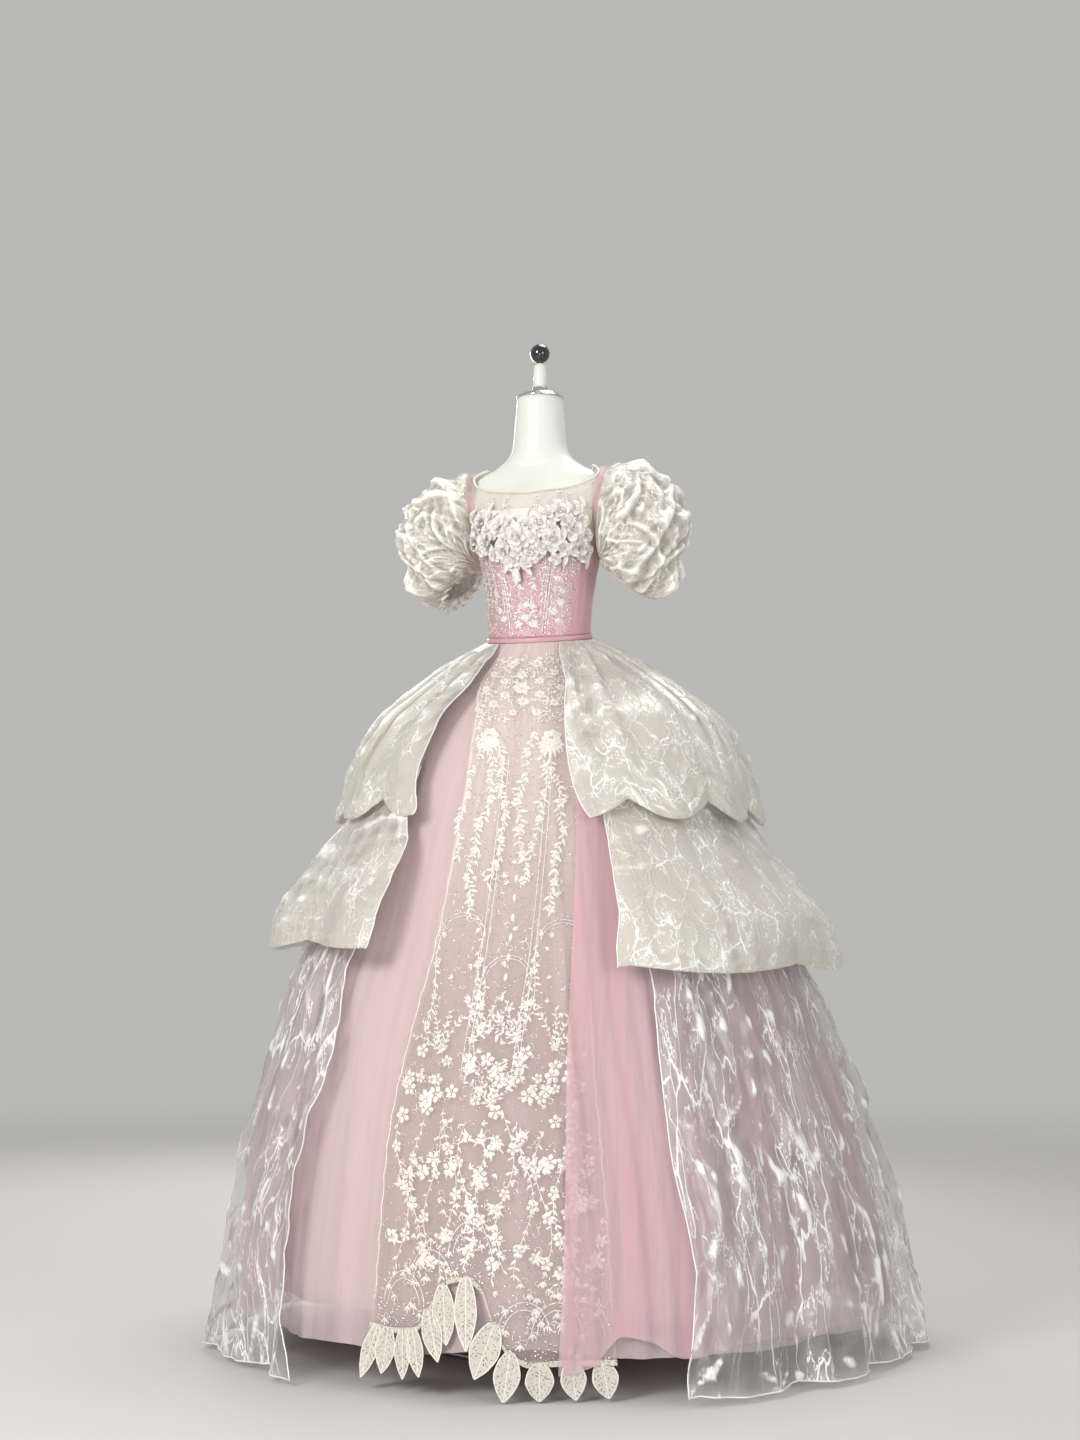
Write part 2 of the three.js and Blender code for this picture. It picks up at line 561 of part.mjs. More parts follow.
const layerGap = (z) => mix(mix(LAYER_GAP.hem, LAYER_GAP.hip, ramp(700, 1200, z)), LAYER_GAP.waist, ramp(1280, 1330, z));
const FOLD = 20; // height of the tulle folds at the hem

// Long soft folds that grow from the hip to the hem
function skirtFold(z, angle) {
  const t = radians(angle);
  const wave = 0.55 * Math.sin(11 * t + 0.8) + 0.45 * Math.sin(7 * t + 2.4) + 0.2 * Math.sin(3 * t);
  return FOLD * ramp(WAIST_SEAM_Z, 60, z) * wave;
}

// A point of a skirt layer: how many layers out from the tulle, and any further distance
function onSkirt(z, angle, layer = 0, out = 0, fold = 1) {
  const t = radians(angle);
  const more = layer * layerGap(z) + out + fold * skirtFold(z, angle);
  const drop = z - (FRONT_DIP * (1 + Math.cos(t)) * ramp(1100, WAIST_SEAM_Z, z)) / 2;
  return new THREE.Vector3(
    skirtX(z) + (skirtSide(z) + more) * Math.sin(t),
    skirtY(z) - (skirtDepth(z) + more) * Math.cos(t),
    drop,
  );
}

// A point on the straight spans between the shared columns, for pieces with columns of their own
function onSpans(z, angle, layer, out = 0) {
  const before = Math.floor(angle / COLUMN_STEP) * COLUMN_STEP;
  const share = (angle - before) / COLUMN_STEP;
  return onSkirt(z, before, layer, out).lerp(onSkirt(z, before + COLUMN_STEP, layer, out), share);
}

const RING = range(0, 360, 40).slice(0, -1);
const SKIRT_LEVELS = [1330, 1290, 1240, 1160, 1000, 720, 380];
const UNDERSKIRT_HEM = 130;
const TULLE_HEM = 72;
const hemWave = (angle) => 7 * Math.sin(radians(5 * angle + 40)) + 5 * Math.sin(radians(11 * angle));

function skirtLayer(layer, hem, angles, closed) {
  const rows = [...SKIRT_LEVELS, hem];
  const place = (z, angle) => onSkirt(z + (z === hem ? hemWave(angle) : 0), angle, layer);
  return cloth(grid(rows, angles, place), CLOTH, closed);
}

piece("underskirt", skirtLayer(-1, UNDERSKIRT_HEM, RING, true), PALETTE.satin, { roughness: 0.35 });
piece("tulle_skirt", skirtLayer(0, TULLE_HEM, RING, true), PALETTE.paleTulle, { roughness: 0.8 });

// A grid whose columns run between two edges that move with the row, kept on the shared columns inside
function openColumns(from, to) {
  const inside = range(-360, 720, 120).filter((angle) => angle > from + 1.5 && angle < to - 1.5);
  return [from, ...inside, to];
}

// The lace panel: its edges on the skirt, row by row
const LACE = [
  { z: 1330, right: -24, left: 33 }, { z: 1290, right: -26, left: 34 }, { z: 1240, right: -24, left: 34 },
  { z: 1160, right: -15, left: 33 }, { z: 1000, right: -9, left: 29 }, { z: 720, right: -11, left: 27 },
  { z: 380, right: -16, left: 26 }, { z: 90, right: -16.5, left: 26 },
];
const laceRight = column(LACE, "right");
const laceLeft = column(LACE, "left");
const LACE_COLUMNS = 12;
const LACE_HEM = [
  { angle: -17, z: 104 }, { angle: -12, z: 98 }, { angle: -7, z: 104 }, { angle: -4, z: 146 },
  { angle: -1, z: 186 }, { angle: 2, z: 192 }, { angle: 4.5, z: 174 }, { angle: 6.8, z: 108 },
  { angle: 9, z: 72 }, { angle: 12.6, z: 54 }, { angle: 17, z: 56 }, { angle: 26, z: 58 },
];
const laceHem = column(LACE_HEM, "z", "angle");

// The lace follows the straight spans of the tulle under it; z 0 stands for its shaped hem
const lacePoint = (z, share) => {
  const angle = mix(laceRight(z), laceLeft(z), share);
  return onSpans(z === 0 ? laceHem(angle) : z, angle, 1);
};

function lacePanel() {
  return cloth(grid([...SKIRT_LEVELS, 0], range(0, 1, LACE_COLUMNS), lacePoint), CLOTH);
}

piece("lace_panel", lacePanel(), PALETTE.lace, { roughness: 0.7 });

// The leaf hem: a strip along the lace hem, and the leaves that hang from it
const LEAVES = [
  { angle: -15.2, drop: 86, width: 32, lean: -18 }, { angle: -12.8, drop: 68, width: 42, lean: -6 },
  { angle: -9.6, drop: 74, width: 36, lean: 3 }, { angle: -7.4, drop: 72, width: 36, lean: 14 },
  { angle: -4.6, drop: 80, width: 40, lean: 18 }, { angle: -2, drop: 90, width: 44, lean: 6 },
  { angle: 2, drop: 112, width: 40, lean: 2 }, { angle: 6.4, drop: 86, width: 50, lean: -20 },
  { angle: 9, drop: 72, width: 44, lean: -8 }, { angle: 13.6, drop: 54, width: 48, lean: 0 },
  { angle: 18.8, drop: 54, width: 44, lean: 6 }, { angle: 23.8, drop: 54, width: 44, lean: 10 },
];
const LEAF_OUTLINE = [
  { along: 0, half: 0.18 }, { along: 0.22, half: 0.4 }, { along: 0.48, half: 0.5 },
  { along: 0.76, half: 0.32 }, { along: 1, half: 0.03 },
];
const SLIT = { from: 0.24, to: 0.52, half: 0.085 }; // the gap along the root of a leaf
const STRIP = 16;

// A point above or below the lace hem, in line with the lowest span of the lace, and moved out from it
const LOWEST_FULL_ROW = SKIRT_LEVELS.at(-1);

function onLaceHem(up, share, out) {
  const at = (place) => {
    const low = lacePoint(0, place);
    const high = lacePoint(LOWEST_FULL_ROW, place);
    return low.lerp(high, up / (high.z - low.z));
  };
  const step = 1 / LACE_COLUMNS;
  const round = at(share + step / 2).sub(at(share - step / 2));
  const down = lacePoint(0, share).sub(lacePoint(LOWEST_FULL_ROW, share));
  return at(share).addScaledVector(down.cross(round).normalize(), out);
}

const LEAF_OUT = 2.9; // from the lace to the middle of a leaf

function leaf({ angle, drop, width, lean }) {
  const share = (angle - laceRight(0)) / (laceLeft(0) - laceRight(0));
  const root = onLaceHem(0, share, LEAF_OUT);
  const lower = onLaceHem(-30, share, LEAF_OUT);
  const round = onLaceHem(0, share + 0.02, 0).sub(onLaceHem(0, share - 0.02, 0)).setZ(0).normalize();
  const down = lower.sub(root).normalize();
  const lean90 = radians(lean);
  const along = down.clone().multiplyScalar(Math.cos(lean90)).addScaledVector(round, Math.sin(lean90));
  const across = round.clone().multiplyScalar(Math.cos(lean90)).addScaledVector(down, -Math.sin(lean90));
  const out = along.clone().cross(across).normalize();
  const start = -STRIP * 0.6;
  const length = Math.min(drop, (root.z - HEM_CLEARANCE) / -along.z + 2) - start;
  const outline = new THREE.Shape(
    [
      ...LEAF_OUTLINE.map(({ along: s, half }) => new THREE.Vector2(half * width, start + s * length)),
      ...LEAF_OUTLINE.toReversed().map(({ along: s, half }) => new THREE.Vector2(-half * width, start + s * length)),
    ],
  );
  const slit = [
    new THREE.Vector2(0, start + SLIT.from * length),
    new THREE.Vector2(SLIT.half * width, start + mix(SLIT.from, SLIT.to, 0.4) * length),
    new THREE.Vector2(0, start + SLIT.to * length),
    new THREE.Vector2(-SLIT.half * width, start + mix(SLIT.from, SLIT.to, 0.4) * length),
  ];
  outline.holes.push(new THREE.Path(slit));
  const flat = new THREE.ExtrudeGeometry(outline, { depth: CLOTH, bevelEnabled: false });
  const basis = new THREE.Matrix4().makeBasis(across, along, across.clone().cross(along).normalize());
  const back = across.clone().cross(along).dot(out) > 0 ? -CLOTH / 2 : CLOTH / 2;
  return flat.applyMatrix4(basis.setPosition(root.addScaledVector(out, back)));
}

function leafHem() {
  const shares = range(0, 1, LACE_COLUMNS);
  const place = (out) => (up, share) => onLaceHem(up, share, out);
  const strip = between(grid([STRIP, 1], shares, place(3)), grid([STRIP, 1], shares, place(SEAM)));
  return fused([strip, ...LEAVES.map(leaf)]);
}

piece("leaf_hem", leafHem(), PALETTE.leaf, { roughness: 0.75 });

// The tulle overlay: open at the front, where its left edge lies on the lace; hem by angle
const OVERLAY_EDGE = [
  { z: 1330, left: 33 }, { z: 1240, left: 33 }, { z: 1160, left: 31 }, { z: 1000, left: 26.5 },
  { z: 720, left: 22.5 }, { z: 380, left: 19 }, { z: 40, left: 16.6 },
];
const OVERLAY_HEM = [
  { angle: 16.6, z: 42 }, { angle: 22, z: 56 }, { angle: 27, z: 105 }, { angle: 31, z: 98 },
  { angle: 36, z: 70 }, { angle: 50, z: 84 }, { angle: 90, z: 62 }, { angle: 135, z: 80 },
  { angle: 180, z: 58 }, { angle: 230, z: 78 }, { angle: 275, z: 60 }, { angle: 316, z: 80 },
];
const OVERLAY_RIGHT = 316; // its other edge, under the overskirt
const OVERLAY_LAYER = 2;
const overlayEdge = column(OVERLAY_EDGE, "left");
const overlayHem = column(OVERLAY_HEM, "z", "angle");

function tulleOverlay() {
  const inside = openColumns(36, OVERLAY_RIGHT).slice(1);
  const place = (z, angle) => {
    const at = angle > 0 ? angle : mix(overlayEdge(z), inside[0], angle + 1);
    return onSpans(z === 0 ? overlayHem(at) : z, at, OVERLAY_LAYER);
  };
  return cloth(grid([...SKIRT_LEVELS, 0], [-1, -0.62, -0.3, ...inside], place), CLOTH);
}

piece("tulle_overlay", tulleOverlay(), PALETTE.pinkTulle, { roughness: 0.8 });

// The overskirt: each tier runs from its left front edge round the back to its right front edge.
// out is the distance from the overlay, lobe the height of its gathers, and z its height on the skirt.
const TIER_1 = [
  { z: 1330, out: 0, left: 28, right: -15, lobe: 0 },
  { z: 1302, out: 34, left: 29, right: -19, lobe: 1 },
  { z: 1240, out: 66, left: 29, right: -22, lobe: 4 },
  { z: 1160, out: 96, left: 25, right: -25, lobe: 9 },
  { z: 1085, out: 82, left: 24.5, right: -25, lobe: 15 },
  { z: 1032, out: 64, left: 26, right: -22, lobe: 20 },
  { z: 1000, out: 52, left: 28, right: -20.5, lobe: 20 },
  { z: 986, out: 42, left: 29, right: -20.5, lobe: 16 },
  { z: 1000, out: 32, left: 29, right: -21, lobe: 6 },
];
const TIER_2 = [
  { z: 1080, out: -4, left: 33, right: -18, lobe: 0 },
  { z: 985, out: 18, left: 33, right: -18, lobe: 2 },
  { z: 880, out: 53, left: 32.5, right: -19, lobe: 8 },
  { z: 790, out: 88, left: 32, right: -20.5, lobe: 15 },
  { z: 735, out: 82, left: 31, right: -21, lobe: 18 },
  { z: 704, out: 66, left: 30.5, right: -21.5, lobe: 18 },
  { z: 716, out: 48, left: 30.5, right: -22, lobe: 8 },
];
const TIER_3 = [
  { z: 790, out: 1.2, left: 38, right: -34, lobe: 0 },
  { z: 700, out: 9, left: 38.4, right: -33, lobe: 2 },
  { z: 560, out: 15, left: 37.2, right: -29, lobe: 5 },
  { z: 400, out: 16, left: 36.5, right: -33, lobe: 9 },
  { z: 220, out: 20, left: 37.8, right: -36, lobe: 14 },
  { z: 14, out: 24, left: 35, right: -28, lobe: 23 },
];
const TIER_SEAT = 2.3; // from the overlay to a tier that is sewn to it

// Gathers between valleys, as a share from -0.4 to 0.6
const lobes = (angle, count, phase) => Math.abs(Math.sin(radians((count * angle) / 2 + phase))) - 0.4;

function tier(rows, { count, phase, hem, rise, open, spans }) {
  const bottom = rows.at(-1).z;
  const place = (row, share) => {
    const angle = mix(row.left, 360 + row.right, share);
    const side = ramp(0.55, 0.95, share); // the wearer's right side is slimmer and shorter
    const front = mix(open, 1, ramp(0, 0.15, share) * ramp(1, 0.85, share)); // flatter at both front edges
    const gather = row.lobe * (lobes(angle, count, phase) + 0.4);
    const low = ramp(rows[0].z, bottom, row.z);
    const drop = hem * low * row.lobe * lobes(angle, count, phase) - rise * side * low;
    const point = onSkirt(row.z, angle, OVERLAY_LAYER, TIER_SEAT + row.out * front * mix(1, 0.7, side) + gather);
    return point.setZ(point.z - drop);
  };
  return cloth(grid(rows, range(0, 1, spans), place), CLOTH);
}

const TIERS = [
  { name: "overskirt_tier_1", rows: TIER_1, count: 14, phase: 80, hem: 2.2, rise: 8, open: 0.55, spans: 42 },
  { name: "overskirt_tier_2", rows: TIER_2, count: 9, phase: 30, hem: 0.8, rise: 42, open: 0.8, spans: 40 },
  { name: "overskirt_tier_3", rows: TIER_3, count: 19, phase: 10, hem: 0.3, rise: 0, open: 1, spans: 44 },
];
for (const { name, rows, ...shape } of TIERS) {
  piece(name, tier(rows, shape), PALETTE.organza, { roughness: 0.25 });
}

export default gown;
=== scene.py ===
"""Looks of the ball gown on its dress form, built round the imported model: +Z up, the gown faces -Y.

The tables are in millimetres, as the part's are, and MM turns them into the scene's metres. Angles round
the body are in degrees from the front, positive towards the wearer's left.
"""

import math

import bpy
import numpy as np
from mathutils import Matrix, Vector


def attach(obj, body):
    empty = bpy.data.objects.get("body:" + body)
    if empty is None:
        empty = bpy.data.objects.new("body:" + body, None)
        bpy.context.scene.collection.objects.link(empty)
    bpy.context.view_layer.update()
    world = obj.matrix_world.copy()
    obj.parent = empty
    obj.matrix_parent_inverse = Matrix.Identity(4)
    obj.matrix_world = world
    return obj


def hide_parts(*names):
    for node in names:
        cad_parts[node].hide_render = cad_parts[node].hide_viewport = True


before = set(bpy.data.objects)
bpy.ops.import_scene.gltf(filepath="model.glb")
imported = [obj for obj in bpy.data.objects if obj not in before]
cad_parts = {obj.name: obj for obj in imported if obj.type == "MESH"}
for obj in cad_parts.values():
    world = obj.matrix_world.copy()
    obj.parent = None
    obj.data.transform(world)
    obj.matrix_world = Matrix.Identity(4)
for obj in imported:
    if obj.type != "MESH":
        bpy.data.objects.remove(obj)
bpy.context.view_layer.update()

MM = 0.001


# Numbers and curves


def mix(a, b, share):
    return a + (b - a) * share


def ramp(start, end, value):
    """0 before the start, 1 after the end, and a smooth rise between them; they may run down too."""
    share = np.clip((np.asarray(value, float) - start) / (end - start), 0, 1)
    return share * share * (3 - 2 * share)


def table(names, text):
    """A short table, rows parted by commas, as one array for each named column; "row" counts the rows."""
    columns = np.array([row.split() for row in text.split(",")], float).T
    return dict(zip(names.split(), columns), row=np.arange(columns.shape[1], dtype=float))


def each(rows, names):
    """The rows of a table one by one, as the values of the named columns."""
    return zip(*(rows[name] for name in names.split()))


def column(rows, key, by="z"):
    """A smooth curve through one column of a table, over another one."""
    order = np.argsort(rows[by])
    x, y = rows[by][order], rows[key][order]
    slope = np.diff(y) / np.diff(x)
    before, after = slope[:-1], slope[1:]
    same = before * after > 0
    inner = np.where(same, 2 * before * after / np.where(same, before + after, 1), 0)
    tangent = np.concatenate([slope[:1], inner, slope[-1:]])

    def at(value):
        value = np.clip(np.asarray(value, float), x[0], x[-1])
        i = np.clip(np.searchsorted(x, value, side="right") - 1, 0, len(x) - 2)
        width = x[i + 1] - x[i]
        s = (value - x[i]) / width
        ends = (1 + 2 * s) * (1 - s) ** 2 * y[i] + s * s * (3 - 2 * s) * y[i + 1]
        return ends + s * (1 - s) ** 2 * width * tangent[i] + s * s * (s - 1) * width * tangent[i + 1]

    return at


FULL_TURN = 2 * math.pi
HEXAGON = np.linspace(0, FULL_TURN, 6, endpoint=False)
LATTICE = 64


def degrees_round(count):
    return np.linspace(0, 360, count, endpoint=False)[None]


def noise(u, v, seed):
    """Smooth noise from 0 to 1 on a seeded square lattice of side 1."""
    lattice = np.random.default_rng(seed).random((LATTICE, LATTICE))
    i, j = np.floor(u).astype(int), np.floor(v).astype(int)
    s, t = u - i, v - j
    s, t = s * s * (3 - 2 * s), t * t * (3 - 2 * t)
    at = lambda a, b: lattice[a % LATTICE, b % LATTICE]
    return mix(mix(at(i, j), at(i + 1, j), s), mix(at(i, j + 1), at(i + 1, j + 1), s), t)


def crumple(u, v, seed, directions):
    """Sharp creases where folded cloth was pressed: sharp ridges in several directions, bent by noise."""
    total = np.zeros(np.broadcast(u, v).shape)
    for k, (turn, size, height) in enumerate(directions):
        t = math.radians(turn)
        along = (u * math.cos(t) + v * math.sin(t)) / size
        bent = along + 1.6 * noise(u / (2.2 * size), v / (2.2 * size), seed + k)
        patch = ramp(0.35, 0.65, noise(u / (1.7 * size) + 9, v / (1.7 * size) + 4, seed + 40 + k))
        total = total + height * patch * (1 - np.abs(np.sin(math.pi * bent)))
    return total


# Meshes


def new_object(name, points, faces, look, smooth=True):
    mesh = bpy.data.meshes.new(name)
    mesh.from_pydata((np.asarray(points) * MM).tolist(), [], [list(map(int, f)) for f in faces])
    mesh.polygons.foreach_set("use_smooth", [smooth] * len(mesh.polygons))
    mesh.materials.append(look)
    mesh.update()
    piece = bpy.data.objects.new(name, mesh)
    bpy.context.scene.collection.objects.link(piece)
    return piece


def cells(rows, columns, closed):
    return np.meshgrid(np.arange(rows - 1), np.arange(columns - 1 + closed), indexing="ij")


def quads(rows, columns, closed=False):
    """The faces of a grid of points, rows down and columns round."""
    i, j = cells(rows, columns, closed)
    k = (j + 1) % columns
    corners = [i * columns + j, (i + 1) * columns + j, (i + 1) * columns + k, i * columns + k]
    return np.stack(corners, -1).reshape(-1, 4)


class Batch:
    """Points and faces gathered for one mesh."""

    def __init__(self):
        self.points, self.faces, self.count = [], [], 0

    def add(self, points, faces):
        self.points.append(np.asarray(points, float).reshape(-1, 3))
        self.faces += (np.asarray(faces) + self.count).tolist()
        self.count += len(self.points[-1])

    def build(self, name, look, smooth=True):
        return new_object(name, np.concatenate(self.points), self.faces, look, smooth)


def unit(vectors):
    return vectors / (np.linalg.norm(vectors, axis=-1, keepdims=True) + 1e-12)


def spread(points, closed):
    """How far each row and column lies along the cloth, and the longest row and column, in millimetres."""
    down = np.linalg.norm(np.diff(points, axis=0), axis=2)
    whole = np.concatenate([points, points[:, :1]], axis=1) if closed else points
    round_it = np.linalg.norm(np.diff(whole, axis=1), axis=2)
    v = np.concatenate([[0], np.cumsum(down.mean(1))])
    u = np.concatenate([[0], np.cumsum(round_it.mean(0))])
    return u, v, round_it.sum(1).max(), down.sum(0).max()


def add_cloth_map(piece, u, v, rows, columns, closed, layers):
    """A UV map in metres along the cloth, for weaves and creases."""
    i, j = cells(rows, columns, closed)
    corners = [np.stack([u[b], -v[a]], -1) for a, b in ((i, j), (i + 1, j), (i + 1, j + 1), (i, j + 1))]
    loops = [corners, [corners[k] for k in (0, 3, 2, 1)]][:layers]
    loops = np.concatenate([np.stack(loop, -2).reshape(-1, 2) for loop in loops])
    values = np.zeros((len(piece.data.loops), 2))
    values[: len(loops)] = loops * MM
    piece.data.uv_layers.new(name="cloth").data.foreach_set("uv", values.ravel())


def grid_normals(points, closed):
    if closed:
        points = np.concatenate([points[:, -1:], points, points[:, :1]], axis=1)
    out = unit(np.cross(np.gradient(points, axis=0), np.gradient(points, axis=1)))
    return out[:, 1:-1] if closed else out


def crest(height, span, closed=False):
    """How far points stand out from the cloth round them: 0 in a crease, 0.5 if flat, 1 on a ridge."""
    soft = height
    for _ in range(10):
        wide = np.pad(soft, ((1, 1), (0, 0)), mode="edge")
        wide = np.pad(wide, ((0, 0), (1, 1)), mode="wrap" if closed else "edge")
        soft = (wide[:-2, 1:-1] + wide[2:, 1:-1] + wide[1:-1, :-2] + wide[1:-1, 2:]) / 4
    return np.clip(0.5 + (height - soft) / span, 0, 1)


def mark(piece, name, values):
    """A share stored on each point of a sheet, for its look."""
    attribute = piece.data.attributes.new(name, "FLOAT", "POINT")
    attribute.data.foreach_set("value", np.tile(values.ravel(), piece["layers"]))


def sheet_mesh(name, points, look, closed=False, thickness=0):
    """A cloth from a grid of points, rows down and columns round: one layer, or a closed wall."""
    rows, columns = points.shape[:2]
    faces = quads(rows, columns, closed)
    flat = points.reshape(-1, 3)
    u, v, width, length = spread(points, closed)
    if thickness:
        inner = points - grid_normals(points, closed) * thickness
        flat = np.concatenate([flat, inner.reshape(-1, 3)])
        shift = rows * columns
        back = faces[:, [0, 3, 2, 1]] + shift
        spans = np.arange(columns - 1 + closed)
        after = (spans + 1) % columns
        low = (rows - 1) * columns
        rims = [
            np.stack([spans, after, after + shift, spans + shift], -1),
            np.stack([low + spans, low + spans + shift, low + after + shift, low + after], -1),
        ]
        if not closed:
            i = np.arange(rows - 1) * columns
            end = i + columns - 1
            rims.append(np.stack([i, i + shift, i + columns + shift, i + columns], -1))
            rims.append(np.stack([end, end + columns, end + columns + shift, end + shift], -1))
        faces = np.concatenate([faces, back, *rims])
    piece = new_object(name, flat, faces, look)
    add_cloth_map(piece, u, v, rows, columns, closed, 2 if thickness else 1)
    piece["cut"] = [width * MM, length * MM]
    piece["layers"] = 2 if thickness else 1
    return piece


def area_of(piece):
    """Square metres of cloth in a piece."""
    areas = np.zeros(len(piece.data.polygons))
    piece.data.polygons.foreach_get("area", areas)
    return float(areas.sum()) / piece["layers"]


LEAST_SHARE = 0.31  # of the rectangle that a cut takes up
LEAST_CUT = 0.0101  # a narrow band's width before its edges are turned in


def cut_of(piece):
    """Width, length and area of the cloth before it was hung; a crescent is measured across its middle."""
    width, length = piece["cut"]
    area = area_of(piece)
    length = max(LEAST_CUT, min(length, area / LEAST_SHARE / width))
    return width, length, min(area, width * length)


def tube(name, path, radius, look, sides=6, closed=False):
    """A round rolled edge along a path of points."""
    path = np.asarray(path, float)
    step = unit(np.gradient(path, axis=0))
    side = unit(np.cross(step, [0.1, 0.2, 1.0]))
    other = np.cross(step, side)
    turns = np.linspace(0, FULL_TURN, sides, endpoint=False)[None, :, None]
    rings = path[:, None] + radius * (np.cos(turns) * side[:, None] + np.sin(turns) * other[:, None])
    last = (len(path) - 1) * sides
    faces = quads(len(path), sides, True).tolist()
    if closed:
        faces += [[last + k, k, (k + 1) % sides, last + (k + 1) % sides] for k in range(sides)]
    else:
        faces += [list(range(sides))[::-1], [last + k for k in range(sides)]]
    return new_object(name, rings.reshape(-1, 3), faces, look)


def turned(name, profile, look, segments=72):
    """A piece turned about the Z axis from rows of radius and height; both ends are on the axis."""
    turns = np.linspace(0, FULL_TURN, segments, endpoint=False)
    points = [(r * math.cos(t), r * math.sin(t), z) for r, z in profile[1:-1] for t in turns]
    low = len(points)
    high, last = low + 1, low - segments
    points += [(0, 0, profile[0][1]), (0, 0, profile[-1][1])]
    faces = quads(len(profile) - 2, segments, True)[:, ::-1].tolist()
    for j in range(segments):
        k = (j + 1) % segments
        faces += [(low, k, j), (high, last + j, last + k)]
    return new_object(name, points, faces, look)


# Materials


class Look:
    """A procedural material round one Principled shader."""

    def __init__(self, name, **sockets):
        self.material = bpy.data.materials.new(name)
        self.material.use_nodes = True
        self.tree = self.material.node_tree
        self.shader = self.tree.nodes["Principled BSDF"]
        for socket, value in sockets.items():
            self.shader.inputs[socket.replace("_", " ")].default_value = value

    def node(self, kind, values=None, **settings):
        node = self.tree.nodes.new(kind)
        for name, value in settings.items():
            setattr(node, name, value)
        for name, value in (values or {}).items():
            if isinstance(value, bpy.types.NodeSocket):
                self.tree.links.new(value, node.inputs[name])
            else:
                node.inputs[name].default_value = value
        return node

    def cloth(self, stretch=(1, 1), turn=0):
        """Coordinates in metres along the cloth."""
        where = self.node("ShaderNodeUVMap", uv_map="cloth").outputs["UV"]
        values = {"Vector": where, "Scale": (*stretch, 1), "Rotation": (0, 0, math.radians(turn))}
        return self.node("ShaderNodeMapping", values).outputs["Vector"]

    def place(self):
        return self.node("ShaderNodeTexCoord").outputs["Object"]

    def grain(self, where, scale, detail=2, rough=0.5):
        values = {"Vector": where, "Scale": scale, "Detail": detail, "Roughness": rough}
        return self.node("ShaderNodeTexNoise", values).outputs["Fac"]

    def range(self, value, low, high, to_low=0, to_high=1):
        values = {"Value": value, "From Min": low, "From Max": high, "To Min": to_low, "To Max": to_high}
        return self.node("ShaderNodeMapRange", values, interpolation_type="SMOOTHSTEP").outputs["Result"]

    def math(self, operation, a, b=0.5):
        return self.node("ShaderNodeMath", {0: a, 1: b}, operation=operation).outputs[0]

    def blend(self, share, a, b):
        return self.node("ShaderNodeMix", {0: share, 6: a, 7: b}, data_type="RGBA").outputs[2]

    def bump(self, height, distance, strength=1.0, after=None):
        values = {"Height": height, "Distance": distance, "Strength": strength}
        if after is not None:
            values["Normal"] = after
        return self.node("ShaderNodeBump", values).outputs["Normal"]

    def share(self, name):
        """A share that is stored on the points of a sheet."""
        return self.node("ShaderNodeAttribute", attribute_name=name).outputs["Fac"]

    def web(self, where, scale, **settings):
        values = {"Vector": where, "Scale": scale}
        return self.node("ShaderNodeTexVoronoi", values, **settings).outputs["Distance"]

    def to(self, socket, value):
        self.tree.links.new(value, self.shader.inputs[socket])
        return self


def rgb(red, green, blue):
    """A colour from its 0 to 255 screen values."""
    linear = [((c / 255 + 0.055) / 1.055) ** 2.4 if c > 10 else c / 3295 for c in (red, green, blue)]
    return (*linear, 1)


def woven(look, threads=900):
    """The height of a plain weave, threads for each metre."""
    size = threads / 20
    waves = (look.node("ShaderNodeTexWave", {"Vector": look.cloth(), "Scale": size}, bands_direction=d)
             for d in "XY")
    return look.math("ADD", *(wave.outputs["Fac"] for wave in waves))


def satin_look(name, colour, deep, rough=0.38, level=0.55, net=None):
    """Satin that gives way to a net colour where a piece carries a share of bare net."""
    look = Look(name, Roughness=rough, Sheen_Weight=0.35, Sheen_Roughness=0.35, Specular_IOR_Level=level)
    tone = look.range(look.grain(look.cloth((1, 0.35)), 9, 3), 0.3, 0.75)
    tone = look.blend(tone, deep, colour)
    if net:
        tone = look.blend(look.share("bare"), tone, net)
    look.to("Base Color", tone)
    soft = look.bump(look.grain(look.cloth((1, 0.3)), 45, 3), 0.004, 0.35)
    return look.to("Normal", look.bump(woven(look), 0.0002, 0.25, soft)).material


def tulle_look(name, colour, deep, low, high, painted_lit_top=None):
    """Sheer netting, denser along soft streaks where it folds over itself; a given top colour is blended
    in towards the top as painted light, which leaves the lower net darker in painted shade.
    """
    look = Look(name, Roughness=0.75, Sheen_Weight=0.5, Sheen_Roughness=0.5, Specular_IOR_Level=0.3)
    streak = look.range(look.grain(look.cloth((1, 0.05)), 16, 4, 0.6), 0.32, 0.7)
    tone = look.blend(streak, colour, deep)
    if painted_lit_top:
        # Painted light: the net turns to a lighter colour towards the top, so it is darker lower down, as
        # light that falls off.
        height = look.node("ShaderNodeSeparateXYZ", {0: look.place()}).outputs["Z"]
        tone = look.blend(look.range(height, 0.5, 1.15), tone, painted_lit_top)
    look.to("Base Color", tone)
    mesh = look.range(look.web(look.cloth(), 620, feature="DISTANCE_TO_EDGE"), 0.0, 0.14, 1, 0)
    cover = look.math("ADD", look.range(streak, 0, 1, low, high), look.math("MULTIPLY", mesh, 0.06))
    look.to("Alpha", cover)
    return look.to("Normal", look.bump(mesh, 0.0003, 0.3)).material


